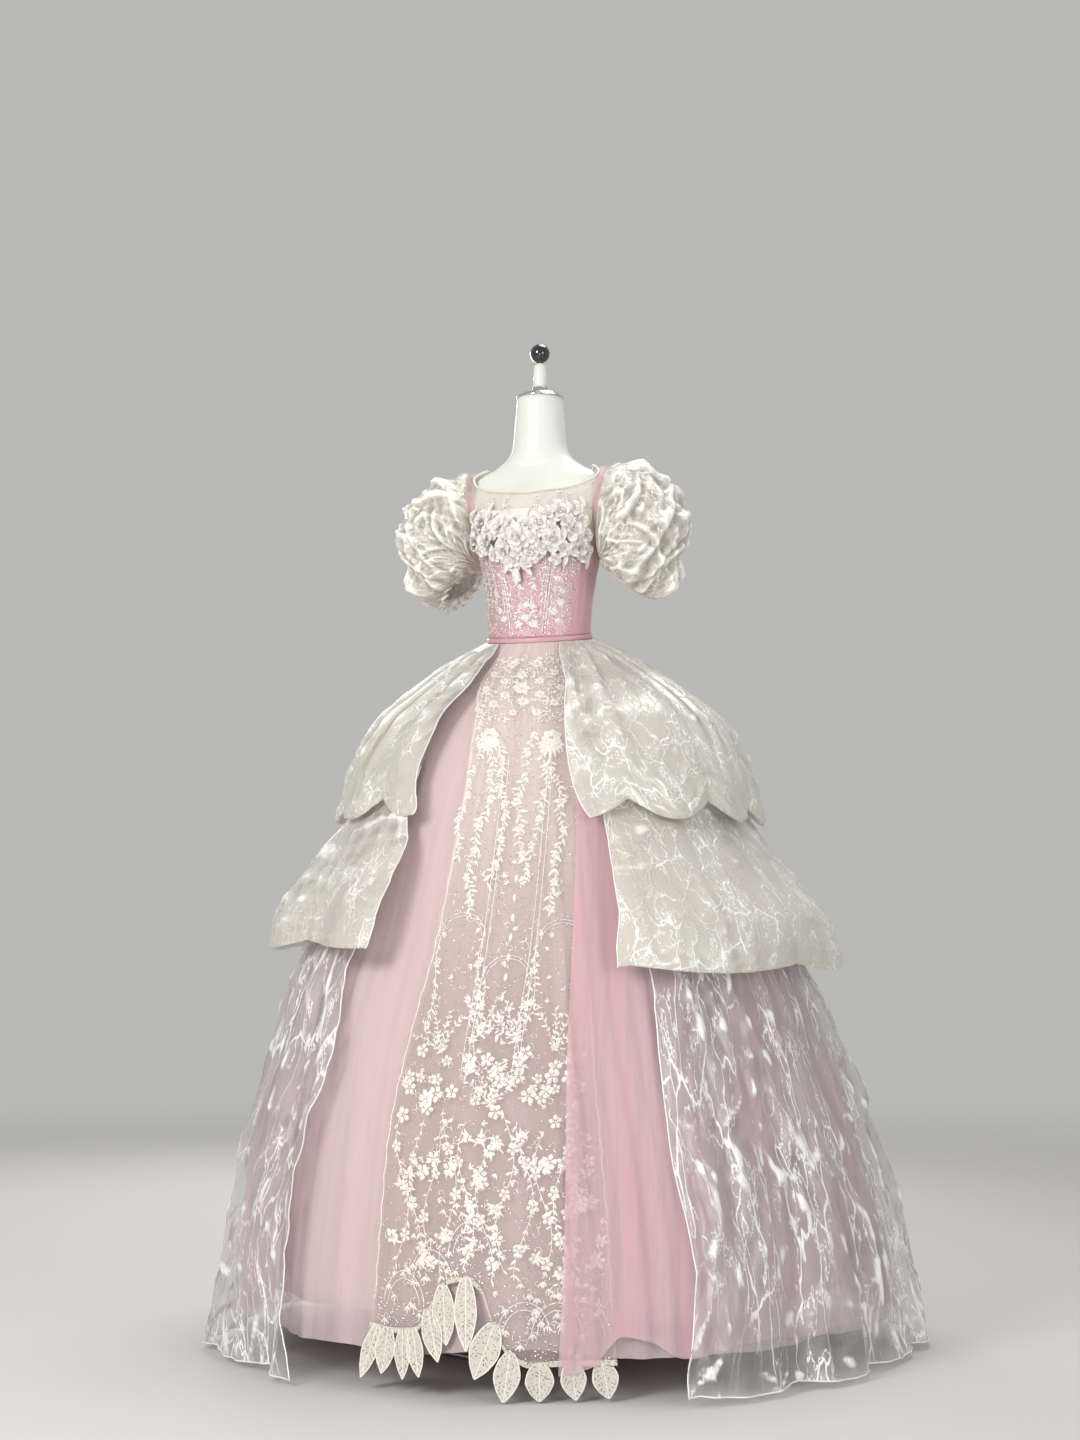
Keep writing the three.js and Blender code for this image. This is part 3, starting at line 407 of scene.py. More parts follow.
def organza_look(name, colour, deep, low, high, size, stretch):
    """Crisp sheer cloth at a size in metres and stretched along the fall, with painted silvery highlights
    along its creases and ridges and painted shade in its hollows; colour is the painted highlight's colour
    and deep the cloth's own.
    """
    look = Look(name, Roughness=0.27, Sheen_Weight=0.25, Sheen_Roughness=0.3, Specular_IOR_Level=0.75,
                Metallic=0.12, Coat_Weight=0.25, Coat_Roughness=0.18)
    where = look.cloth((1 / size, 1 / (size * stretch)), 8)
    bend = look.node("ShaderNodeTexNoise", {"Vector": where, "Scale": 1.4, "Detail": 3})
    bent = look.node("ShaderNodeMixRGB", {"Fac": 0.42, "Color1": where, "Color2": bend.outputs["Color"]})
    crease = look.web(bent.outputs["Color"], 1.9, feature="DISTANCE_TO_EDGE")
    crease = look.range(crease, 0.0, 0.05, 1, 0)
    folds = look.grain(where, 1.1, 5, 0.62)
    ridge = look.range(look.math("ABSOLUTE", look.math("SUBTRACT", folds, 0.5)), 0.0, 0.02, 1, 0)
    patch = look.range(look.grain(where, 0.45, 2), 0.38, 0.62)
    sharp = look.math("MAXIMUM", crease, ridge)
    painted_crease_glints = look.math("MULTIPLY", sharp, look.range(patch, 0, 1, 0.15, 1))
    crest_for_painted_light = look.share("crest")
    # Painted highlight: the cloth colour turns to a bright silvery glint along crease lines and on the
    # crests of folds.
    shine = look.math("MAXIMUM", painted_crease_glints, look.range(crest_for_painted_light, 0.6, 1.0))
    # Painted shade: the cloth colour darkens to two thirds in the creases between folds.
    shade = tuple(c * 0.66 for c in deep[:3]) + (1,)
    tone = look.blend(look.range(crest_for_painted_light, 0.05, 0.5), shade, deep)
    look.to("Base Color", look.blend(shine, tone, colour))
    # The cloth is also made more opaque where the painted highlight lies.
    cover = look.math("MAXIMUM", shine, look.math("MULTIPLY", patch, 0.3))
    look.to("Alpha", look.range(cover, 0, 1, low, high))
    height = look.math("ADD", look.math("MULTIPLY", sharp, 0.35), folds)
    crinkled = look.bump(height, 0.005, 0.55)
    return look.to("Normal", look.bump(woven(look, 1400), 0.00015, 0.2, crinkled)).material


def thread_look(name, colour, deep, rough, shine=0.0):
    """Embroidery: padded stitches that run along each motif."""
    look = Look(name, Roughness=rough, Sheen_Weight=0.4, Specular_IOR_Level=0.6, Metallic=shine)
    tone = look.range(look.grain(look.place(), 260, 2), 0.3, 0.7)
    look.to("Base Color", look.blend(tone, deep, colour))
    return look.to("Normal", look.bump(look.grain(look.place(), 900, 1), 0.0006, 0.5)).material


def smooth_look(name, colour, rough, metal=0.0, grain=0.0, coat=0.0):
    look = Look(name, Roughness=rough, Metallic=metal, Coat_Weight=coat, Coat_Roughness=0.08)
    shade = tuple(c * 0.93 for c in colour[:3]) + (1,)
    look.to("Base Color", look.blend(look.range(look.grain(look.place(), 6, 3), 0.3, 0.7), shade, colour))
    return look.to("Normal", look.bump(look.grain(look.place(), 500, 2), 0.0002, grain)).material


LOOKS = {
    "form": smooth_look("form_cover", rgb(226, 229, 222), 0.42, grain=0.35),
    "chrome": smooth_look("chrome", rgb(215, 218, 222), 0.1, 1.0, 0.02),
    "knob": smooth_look("knob_gloss", rgb(24, 24, 27), 0.08, coat=1.0, grain=0.02),
    "steel": smooth_look("brushed_steel", rgb(190, 193, 198), 0.24, 1.0, 0.15),
    "satin": satin_look("bodice_satin", rgb(214, 172, 179), rgb(201, 149, 158), 0.4, 0.5,
                        rgb(232, 226, 215)),
    "skirt_satin": satin_look("skirt_satin", rgb(226, 201, 203), rgb(216, 184, 188)),
    "tulle": tulle_look("tulle", rgb(232, 214, 213), rgb(225, 201, 203), 0.5, 0.68),
    "tulle_pink": tulle_look("tulle_pink", rgb(230, 203, 206), rgb(216, 172, 180), 0.34, 0.74),
    "net": tulle_look("yoke_net", rgb(240, 231, 220), rgb(235, 221, 210), 0.26, 0.36),
    # The lace net is painted lighter towards the waist and darker towards the hem, a painted falloff of
    # the light.
    "lace": tulle_look("lace_net", rgb(218, 203, 195), rgb(192, 173, 167), 0.34, 0.54,
                       painted_lit_top=rgb(244, 232, 222)),
    # Organza: the first colour is a painted silvery highlight, the second the cloth's own colour, darkened
    # in its creases as painted shade.
    "organza": organza_look("organza", rgb(252, 251, 247), rgb(223, 220, 208), 0.76, 1.0, 0.04, 1.8),
    "organza_sheer": organza_look("organza_sheer", rgb(252, 252, 252), rgb(214, 211, 212), 0.3, 0.96,
                                  0.045, 4.5),
    "organza_sleeve": organza_look("organza_sleeve", rgb(252, 250, 245), rgb(221, 216, 203), 0.86, 1.0,
                                   0.03, 1.4),
    "tape": smooth_look("neck_tape_cloth", rgb(226, 218, 205), 0.5, grain=0.6),
    "hem": smooth_look("rolled_hem", rgb(248, 248, 244), 0.3, 0.1, 0.3),
    "flower": thread_look("fabric_petals", rgb(243, 241, 237), rgb(219, 211, 206), 0.5),
    "silver": thread_look("silver_beads", rgb(240, 238, 236), rgb(176, 170, 170), 0.2, 0.75),
    "thread": thread_look("lace_thread", rgb(248, 244, 239), rgb(222, 211, 202), 0.4),
    "leaf": thread_look("leaf_lace", rgb(250, 248, 242), rgb(236, 231, 220), 0.5),
}


def dress(piece, *nodes, slot, held=None, rests_on="form_cover", with_pieces=()):
    """The piece stands for these nodes of the part, which are hidden; for a held sheet of cloth its cut is
    worked out.
    """
    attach(piece, "root")
    if nodes:
        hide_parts(*nodes)
    if held:
        width, length, area = cut_of(piece)
    return piece


# The camera, the light and the floor


def aim(thing, target):
    thing.rotation_euler = (Vector(target) - thing.location).to_track_quat("-Z", "Y").to_euler()


CAMERA_DISTANCE = 4.5
CAMERA_AZIMUTH = 18  # degrees towards the wearer's left
CAMERA_HEIGHT = 0.78
CAMERA_PITCH = 4.9  # degrees up
LENS = 59.5


def add_camera():
    turn, pitch = math.radians(CAMERA_AZIMUTH), math.radians(CAMERA_PITCH)
    camera = bpy.data.objects.new("camera", bpy.data.cameras.new("camera"))
    camera.data.lens = LENS
    camera.location = (CAMERA_DISTANCE * math.sin(turn), -CAMERA_DISTANCE * math.cos(turn), CAMERA_HEIGHT)
    aim(camera, (0, 0, CAMERA_HEIGHT + CAMERA_DISTANCE * math.tan(pitch)))
    bpy.context.scene.collection.objects.link(camera)
    bpy.context.scene.camera = camera


LIGHTS = {  # place, size, power in watts and colour
    "key": ((-1.35, -4.2, 2.7), 1.5, 124, (1.0, 0.985, 0.96)),
    "fill": ((3.6, -3.0, 1.8), 1.6, 44, (0.98, 0.99, 1.0)),
    "top": ((0.4, 0.9, 4.2), 1.6, 52, (1.0, 1.0, 1.0)),
    "rim": ((-2.2, 3.4, 2.4), 1.2, 52, (1.0, 1.0, 1.0)),
    "low": ((1.0, -4.4, 0.6), 0.8, 16, (1.0, 0.99, 0.98)),
}
STUDIO = rgb(220, 219, 217)
STUDIO_GLOW = 0.68


def add_lights():
    for name, (place, size, power, colour) in LIGHTS.items():
        light = bpy.data.objects.new(name, bpy.data.lights.new(name, "AREA"))
        light.data.size, light.data.energy, light.data.color = size, power, colour
        light.location = place
        aim(light, (0, 0, 0.95))
        bpy.context.scene.collection.objects.link(light)
    world = bpy.data.worlds.new("studio")
    world.use_nodes = True
    world.node_tree.nodes["Background"].inputs["Color"].default_value = STUDIO
    world.node_tree.nodes["Background"].inputs["Strength"].default_value = STUDIO_GLOW
    bpy.context.scene.world = world
    bpy.context.scene.view_settings.view_transform = "Standard"


FLOOR_R = 9000
FADE_NEAR, FADE_FAR = 1.6, 6.5  # metres from the gown over which the floor turns into the backdrop


def add_floor():
    look = Look("studio_floor", Roughness=1.0, Specular_IOR_Level=0.0, Emission_Strength=STUDIO_GLOW)
    place = look.node("ShaderNodeVectorMath", {0: look.place()}, operation="LENGTH").outputs["Value"]
    far = look.range(place, FADE_NEAR, FADE_FAR)
    black = rgb(0, 0, 0)
    look.to("Base Color", look.blend(far, rgb(206, 205, 203), black))
    look.to("Emission Color", look.blend(far, black, STUDIO))
    floor = turned("floor", [(0, -4), (FLOOR_R, -4), (FLOOR_R, -1), (0, -1)], look.material)


# The dress form

BODY = table("z side front back", """
    1090 108 76 84, 1150 122 84 94, 1220 114 83 90, 1280 97 78 79, 1330 94 76 75, 1375 96 78 76,
    1420 102 85 80, 1465 111 97 86, 1505 120 110 91, 1540 127 103 93, 1575 135 88 90, 1605 139 73 82,
    1628 134 62 72, 1642 115 56 64, 1654 88 52 58, 1668 62 50 53, 1690 52 49 49, 1735 48 47 47,
    1784 44 44 44""")
HIP_Z, NECK_TOP_Z = 1090, 1784
body_side, body_front, body_back = (column(BODY, key) for key in ("side", "front", "back"))


def on_body(z, angle):
    z, angle = np.broadcast_arrays(np.asarray(z, float), np.asarray(angle, float))
    t = np.radians(angle)
    depth = np.where(np.cos(t) > 0, body_front(z), body_back(z))
    return np.stack([body_side(z) * np.sin(t), -depth * np.cos(t), z], -1)


def off_body(z, angle, distance):
    """A point at a distance from the body, along its normal."""
    z, angle, distance = np.broadcast_arrays(*(np.asarray(a, float) for a in (z, angle, distance)))
    down = on_body(z - 0.5, angle) - on_body(z + 0.5, angle)
    round_it = on_body(z, angle + 0.5) - on_body(z, angle - 0.5)
    return on_body(z, angle) + unit(np.cross(down, round_it)) * distance[..., None]


def body_frame(z, angle, distance):
    """A place on the body with its directions out, round and up."""
    origin = off_body(z, angle, distance)
    out = unit(off_body(z, angle, distance + 1) - origin)
    round_it = unit(np.cross([0, 0, 1], out))
    return origin, out, round_it, np.cross(out, round_it)


def settle(z, left, right, share, rows_at, rounds):
    """Heights and angles of a cloth whose sides follow the height and whose rows follow the angle."""
    for _ in range(rounds):
        angle = mix(left(z), right(z), share)
        z = rows_at(angle)
    return z, angle


FORM_ROWS, FORM_COLUMNS = 100, 80
CAP_Z, POST_Z, KNOB_Z = NECK_TOP_Z + 0.4, NECK_TOP_Z + 22.8, NECK_TOP_Z + 70.2
KNOB_R, KNOB_CUT = 19, math.radians(76)
TURNED = (  # mesh, node, look, segments, height of its foot, and rows of radius and height
    ("neck_cap", "form_neck_cap", "chrome", 72, CAP_Z, """
        0 0, 45 0, 45.6 1.5, 45 3, 43 4.2, 40 5, 38.4 6.2, 37.6 8, 35.5 9.2, 30 10.4, 26.6 11.6, 24.5 12.6,
        17 13.6, 15.3 15, 15 21, 14.2 22, 0 22"""),
    ("post", "form_post", "form", 72, POST_Z, """
        0 0, 12 0, 12.8 2, 13 8, 13 14, 11.6 40, 10 43.5, 6.8 46, 5 47, 0 47"""),
    ("pole", "form_pole", "steel", 72, 0, """
        0 14.4, 25 14.4, 26 16, 26 31, 24 33, 17 36, 16 39, 16 1089, 0 1089.6"""),
    ("base", "form_base", "steel", 128, 0, """
        0 0, 199 0, 200 1, 200 8.5, 198 11.5, 192 13.6, 186 14, 0 14"""),
)


def add_form():
    levels = np.linspace(NECK_TOP_Z, HIP_Z, FORM_ROWS)[:, None]
    angles = degrees_round(FORM_COLUMNS)
    drawn_in = -6 * ramp(1585, 1615, levels) * (1 - ramp(1650, 1668, levels))
    points = off_body(levels, angles, drawn_in).reshape(-1, 3)
    top, low = list(range(FORM_COLUMNS)), (FORM_ROWS - 1) * FORM_COLUMNS
    faces = quads(FORM_ROWS, FORM_COLUMNS, True).tolist() + [top[::-1], [low + j for j in top]]
    torso = new_object("form_cover", points, faces, LOOKS["form"])
    dress(torso, "form_torso", slot="form")
    for name, node, look, segments, foot, text in TURNED:
        profile = [(r, foot + z) for r, z in each(table("r z", text), "r z")]
        dress(turned(name, profile, LOOKS[look], segments), node, slot=look)
    turns = np.linspace(-KNOB_CUT, KNOB_CUT, 33)
    ball = [(KNOB_R * math.cos(t), KNOB_Z + KNOB_R * (math.sin(KNOB_CUT) + math.sin(t))) for t in turns]
    knob = turned("knob", [(0, KNOB_Z), *ball, (0, ball[-1][1])], LOOKS["knob"])
    dress(knob, "form_knob", slot="knob")


# The bodice

WAIST_SEAM_Z = 1330
FRONT_DIP = 27
BUST_EDGE_Z = 1556
ZIP_HALF = 2.6
WAISTBAND_HIGH = 10
SEAM_GAP = 0.4  # between two cloths that meet at a level seam
BODICE_OUT = 4.4
SATIN = 1.6
ARMHOLE = table("z edge", """
    1470 90, 1490 79, 1530 67, 1575 61, 1610 65, 1630 78, 1640 89""")
armhole = column(ARMHOLE, "edge")


def seam_z(angle):
    return WAIST_SEAM_Z - FRONT_DIP * (1 + np.cos(np.radians(angle))) / 2


def low_edge(angle):
    return seam_z(angle) + WAISTBAND_HIGH + SEAM_GAP


def side_edge(z):
    return np.where(np.asarray(z) <= 1470, 90, armhole(z))


def princess(z):
    return mix(19, 33, (z - WAIST_SEAM_Z) / (BUST_EDGE_Z - WAIST_SEAM_Z))


def side_back(z):
    return mix(128, 140, (z - WAIST_SEAM_Z) / (BUST_EDGE_Z - WAIST_SEAM_Z))


HALF_SEAM = 0.16
EDGES = {  # of the wearer's left pieces, in degrees at a height
    "side_front": (lambda z: princess(z) + HALF_SEAM, lambda z: side_edge(z) - HALF_SEAM),
    "side_back": (lambda z: 180 - side_edge(z) + HALF_SEAM, lambda z: side_back(z) - HALF_SEAM),
    "back": (lambda z: side_back(z) + HALF_SEAM, lambda z: 180 - ZIP_HALF + 0 * z),
    "yoke_back": (lambda z: 180 - side_edge(z) + HALF_SEAM, lambda z: 180 - ZIP_HALF + 0 * z),
}


def both_sides(left, right):
    return {"left": (left, right), "right": (lambda z: -right(z), lambda z: -left(z))}


# The edges of each panel, the number of its pleats and their height in millimetres
PANELS = {
    "bodice_centre_front": (lambda z: HALF_SEAM - princess(z), lambda z: princess(z) - HALF_SEAM, 0, 0),
}
for part, left_pleats, right_pleats in (
    ("side_front", (5, 1.1), (0, 0)), ("side_back", (5, 0.9), (5, 0.9)), ("back", (4, 0.7), (4, 0.7)),
):
    sides = both_sides(*EDGES[part])
    PANELS[f"bodice_{part}_left"] = (*sides["left"], *left_pleats)
    PANELS[f"bodice_{part}_right"] = (*sides["right"], *right_pleats)
PANEL_ROWS, PANEL_COLUMNS = 50, 26

# Where the satin ends under the flowers
SWEETHEART = table("angle z", """
    -72 1530, -45 1532, -22 1508, -8 1486, 8 1492, 32 1532, 54 1524, 72 1510""")
sweetheart = column(SWEETHEART, "z", "angle")


def add_bodice():
    share = np.linspace(0, 1, PANEL_COLUMNS)[None]
    down = np.linspace(0, 1, PANEL_ROWS)[:, None]
    column_of = share * PANEL_COLUMNS
    rib = 0.9 * (np.exp(-((column_of - 1) ** 2)) + np.exp(-((column_of - PANEL_COLUMNS + 1) ** 2)))
    for k, (name, (left, right, pleats, height)) in enumerate(PANELS.items()):
        z = mix(BUST_EDGE_Z, WAIST_SEAM_Z, down) + 0 * share
        z, angle = settle(z, left, right, share, lambda a: mix(BUST_EDGE_Z, low_edge(a), down), 5)
        sag = 0.35 * (noise(angle / 7, z / 60, 10 + k) - 0.5)
        if pleats:
            slant = share * pleats + 0.7 * np.sin(z / 60) + (z - WAIST_SEAM_Z) / 150
            fade = ramp(1345, 1370, z) * ramp(1520, 1470, z)
            sag = sag + height * (np.abs(np.sin(math.pi * slant)) - 0.5) * fade
        points = off_body(z, angle, BODICE_OUT + sag + 0.5 * rib)
        panel = sheet_mesh(name + "_satin", points, LOOKS["satin"], thickness=SATIN)
        net = ramp(-5, 5, z - sweetheart(np.clip(angle, -72, 72))) * ramp(74, 60, np.abs(angle))
        mark(panel, "bare", net)
        dress(panel, name, slot="satin", held="stretched")


NECKLINE = table("angle z", """
    0 1584, 30 1592, 55 1612, 75 1636, 90 1645, 120 1643, 150 1634, 180 1628""")
neckline = column(NECKLINE, "z", "angle")


def neck_edge(angle):
    return neckline(np.abs(angle))


def yoke_air(z, angle):
    aside = 90 - np.abs(90 - np.abs(angle))
    return 3.6 - 1.4 * ramp(35, 65, aside) * ramp(1580, 1612, z)


YOKES = {"yoke_front": (lambda z: HALF_SEAM - side_edge(z), lambda z: side_edge(z) - HALF_SEAM, 90)}
for side, edges in both_sides(*EDGES["yoke_back"]).items():
    YOKES[f"yoke_back_{side}"] = (*edges, 46)
YOKE_ROWS = 34
BINDING_R = 2.3


def add_binding():
    """The rolled tape round the neck, open at the back."""
    angle = np.linspace(ZIP_HALF - 180, 180 - ZIP_HALF, 240)
    z = neck_edge(angle) + 4.9
    path = off_body(z - 3, angle, yoke_air(z, angle) + 0.4)
    tape = tube("neck_tape", path, BINDING_R, LOOKS["tape"], 8)
    return dress(tape, "neck_binding", slot="organza")


def add_yoke():
    down = np.linspace(0, 1, YOKE_ROWS)[:, None]
    for name, (left, right, columns) in YOKES.items():
        share = np.linspace(0, 1, columns)[None]
        foot = BUST_EDGE_Z + SEAM_GAP
        z = mix(1590, foot, down) + 0 * share
        z, angle = settle(z, left, right, share, lambda a: mix(neck_edge(a), foot, down), 8)
        points = off_body(z, angle, yoke_air(z, angle) + 1.2)
        net = sheet_mesh(name + "_net", points, LOOKS["net"])
        going = [add_binding()] if name == "yoke_front" else []
        dress(net, name, slot="net", held="stretched", with_pieces=going)


WAISTBAND_ROWS, WAISTBAND_COLUMNS = 9, 200


def add_waistband():
    angle, share = degrees_round(WAISTBAND_COLUMNS), np.linspace(0, 1, WAISTBAND_ROWS)[:, None]
    z = seam_z(angle) + mix(WAISTBAND_HIGH, SEAM_GAP, share)
    gathers = 0.4 * np.abs(np.sin(np.radians(angle) * 3 + share * 8))
    points = off_body(z, angle, BODICE_OUT + 1.6 + gathers + 1.2 * np.sin(math.pi * share))
    belt = sheet_mesh("waistband_satin", points, LOOKS["satin"], True, 2.4)
    dress(belt, "waistband", slot="satin", held="stretched")


ZIP_TOP, ZIP_LOW = 1620, 1343
TEETH = 120
TOOTH = [(-1.2, 0), (1.2, 0), (1.2, 1.1), (-1.2, 1.1)]
BOX = [(4, 7, 6, 5), (0, 1, 2, 3)] + [(i, 4 + i, 4 + (i + 1) % 4, (i + 1) % 4) for i in range(4)]


def add_zip():
    angles = np.linspace(180 - ZIP_HALF + 0.4, 180 + ZIP_HALF - 0.4, 9)[None]
    z = np.linspace(ZIP_TOP, ZIP_LOW, 60)[:, None]
    groove = -0.7 * np.exp(-(((angles - 180) / 0.5) ** 2))
    points = off_body(z, angles, BODICE_OUT - 0.4 + groove)
    tape = sheet_mesh("zip_tape", points, LOOKS["satin"], thickness=1.2)
    teeth = Batch()
    for k, height in enumerate(np.linspace(ZIP_TOP - 3, ZIP_LOW + 3, TEETH)):
        side = 0.55 if k % 2 else -0.55
        teeth.add([off_body(height + dz, 180 + 0.6 * (dx + side) / 1.6, BODICE_OUT - 0.6 + lift)
                   for lift in (0.3, 1.1) for dx, dz in TOOTH], BOX)
    teeth = dress(teeth.build("zip_teeth", LOOKS["silver"], smooth=False), slot="satin")
    dress(tape, "back_zip", slot="satin", held="stretched", with_pieces=[teeth])


# The puff sleeves

ARM_X, ARM_Y, ARM_Z = 117.6, 2, 1462
SLEEVE = table("fan inner outer depth bow", """
    8 12 186 48 4, 13 9 205 78 2, 26 8 216 108 0, 42 8 206 118 0, 58 8 192 120 0, 74 8 178 116 0,
    90 8 160 108 0, 105 9 142 96 0, 118 12 122 76 0, 128 20 104 52 0""")
sleeve_inner, sleeve_outer, sleeve_depth, sleeve_bow = (
    column(SLEEVE, key, "fan") for key in ("inner", "outer", "depth", "bow")
)
RIGHT_PUFF = 0.93
RIGHT_TURN = 35  # the right sleeve's folds, turned from the left one's
ARMHOLE_FAN, CUFF_FAN, FRILL_FAN = 8, 128, 137
SLEEVE_CREST = 4.4
CRUSH = table("fan turn lean width height", """
    26 20 30 9 11, 40 75 -35 8 10, 52 -50 25 9 12, 58 25 -20 8 10, 68 100 40 9 10, 74 -15 35 8 11,
    82 -95 -30 9 10, 88 55 -40 8 9, 34 -120 20 9 9, 64 160 -25 9 9""")
# Sharp tucks between the big folds
TUCKS = table("fan turn lean length width height", """
    20 -30 10 40 3.2 9, 32 48 -48 44 3.6 11, 36 -12 42 36 3.2 10, 46 20 58 34 3.0 10,
    48 -80 -22 44 3.6 10, 60 -24 -52 38 3.2 11, 62 62 30 40 3.4 10, 70 26 -10 36 3.0 9,
    76 -60 46 40 3.4 10, 84 8 60 34 3.2 10, 92 84 -30 40 3.6 9, 94 -32 -40 36 3.2 9, 100 36 24 34 3.0 8,
    56 118 -36 44 3.8 10, 40 150 34 44 3.8 9, 80 140 -20 44 3.8 9, 44 -140 -40 44 3.8 9,
    72 -150 26 44 3.8 9, 26 100 -20 40 3.4 9, 96 -110 30 40 3.4 8""")


def around_turn(turn, middle):
    return (turn - middle + 540) % 360 - 180


SLEEVE_FOLDS = (  # turn from level, size and height in millimetres
    (24, 64, 11), (68, 52, 10), (118, 58, 11), (158, 74, 9), (45, 27, 4), (100, 22, 3), (140, 30, 4),
)


def crushed(fan, turn):
    """Crushed folds of a puff: soft ridges, sharp tucks with one steep side, and creases."""
    turn = turn % 360
    height = 0 * turn * fan
    for f, t, lean, width, high in each(CRUSH, "fan turn lean width height"):
        aside = around_turn(turn, t)
        across = fan - f - aside * math.tan(math.radians(lean)) * 0.45
        height = height + 0.5 * high * np.exp(-((across / width) ** 2) - (aside / 42) ** 2)
    for f, t, lean, length, width, high in each(TUCKS, "fan turn lean length width height"):
        aside = around_turn(turn, t)
        tilt = math.radians(lean)
        across = (fan - f) * math.cos(tilt) - aside * math.sin(tilt) * 0.8
        along = (fan - f) * math.sin(tilt) + aside * math.cos(tilt) * 0.8
        across = across + 2.5 * np.sin(along / 11 + f)
        steep = np.where(across > 0, width * 0.55, width * 1.9)
        height = height + high * np.exp(-((across / steep) ** 2) - (along / length) ** 2)
    folds = lambda t: crumple(t * 1.7, fan * 2.6, 70, SLEEVE_FOLDS)
    folds = mix(folds(turn), folds(turn - 360), ramp(280, 360, turn))
    ruffle = 5 * np.sin(np.radians(13 * turn + 2 * fan)) * ramp(80, 112, fan)
    return height + folds + ruffle - 24


def puffed(fan, turn):
    """The folds where the puff is full, how it hangs over the drawn-in cuff, and the frill under that."""
    fade = ramp(8, 24, fan) * ramp(CUFF_FAN, 121, fan)
    over = 28 * ramp(88, 110, fan) * ramp(127.8, 119, fan) - 13 * ramp(48, 18, fan) * ramp(8, 14, fan)
    frill = 12 + 8 * np.sin(np.radians(16 * turn)) + 4 * np.sin(np.radians(7 * turn + 60))
    bulge = over * (0.6 + 0.4 * np.abs(np.sin(np.radians(3.5 * turn + fan))))
    return fade * crushed(fan, turn) + bulge + frill * ramp(CUFF_FAN, FRILL_FAN, fan)


def folds_turn(turn, side):
    return turn if side > 0 else turn + RIGHT_TURN


def on_sleeve(fan, turn, side, out=0.0):
    size = 1 if side > 0 else mix(1, RIGHT_PUFF, ramp(ARMHOLE_FAN, 40, fan))
    lift = puffed(fan, folds_turn(turn, side)) + out
    inner, outer, depth = sleeve_inner(fan), size * sleeve_outer(fan), size * sleeve_depth(fan)
    t, f = np.radians(turn), np.radians(fan + 6 * ramp(98, 118, fan) * ramp(CUFF_FAN, 120, fan))
    underarm = np.maximum(0, -np.cos(t))
    along = (outer + inner) / 2 + ((outer - inner) / 2 + lift * (1 - underarm)) * np.cos(t)
    across = (depth + lift * (1 - 0.6 * underarm)) * np.sin(t)
    x = ARM_X + along * np.sin(f) - sleeve_bow(fan) * np.sin(t) ** 2
    return np.stack(np.broadcast_arrays(side * x, ARM_Y + across, ARM_Z + along * np.cos(f)), -1)


SLEEVE_ROWS, SLEEVE_COLUMNS = 116, 240
FACING_FANS = np.array([2.0, 4.5, 7.0, 9.2, 9.8])[:, None]  # rows of the net between the yoke and a sleeve


def add_sleeves():
    for name, side in (("left", 1), ("right", -1)):
        end = FRILL_FAN if side < 0 else CUFF_FAN + 1
        fans = np.linspace(ARMHOLE_FAN, end, SLEEVE_ROWS)[:, None]
        turns = -side * degrees_round(SLEEVE_COLUMNS)
        puff = on_sleeve(fans, turns, side)
        puff = sheet_mesh(f"sleeve_{name}_organza", puff, LOOKS["organza_sleeve"], True)
        # The crest share drives painted highlights on the ridges and painted shade in the creases of the
        # sleeve.
        mark(puff, "crest", crest(crushed(fans, folds_turn(turns, side)), SLEEVE_CREST, True))
        wrist = on_sleeve(np.array([CUFF_FAN - 0.4]), turns, side, 0.6)[0]
        cuff = dress(tube(f"cuff_{name}", wrist, 1.6, LOOKS["tape"], closed=True), slot="organza")
        facing = on_sleeve(FACING_FANS, turns, side, -1.5)
        facing = sheet_mesh(f"armhole_facing_{name}", facing, LOOKS["tulle_pink"], True)
        dress(facing, slot="tulle_pink")
        dress(puff, f"sleeve_{name}", slot="organza", held="gathered", with_pieces=[cuff, facing])


# The skirts

SKIRT = table("z side depth x y", """
    0 592 620 24 98, 240 562 586 19 93, 430 525 544 11 82, 535 495 512 6 73, 640 462 476 4 65,
    720 430 440 5 58, 790 405 412 5 53, 900 368 374 5 44, 1000 328 331 4 35, 1085 280 279 3 26,
    1160 229 222 2 17, 1240 170 160 1 6, 1290 127 111 0 1, 1330 98.8 82.8 0 0""")
skirt_side, skirt_depth, skirt_x, skirt_y = (column(SKIRT, key) for key in ("side", "depth", "x", "y"))
FOLD = 20

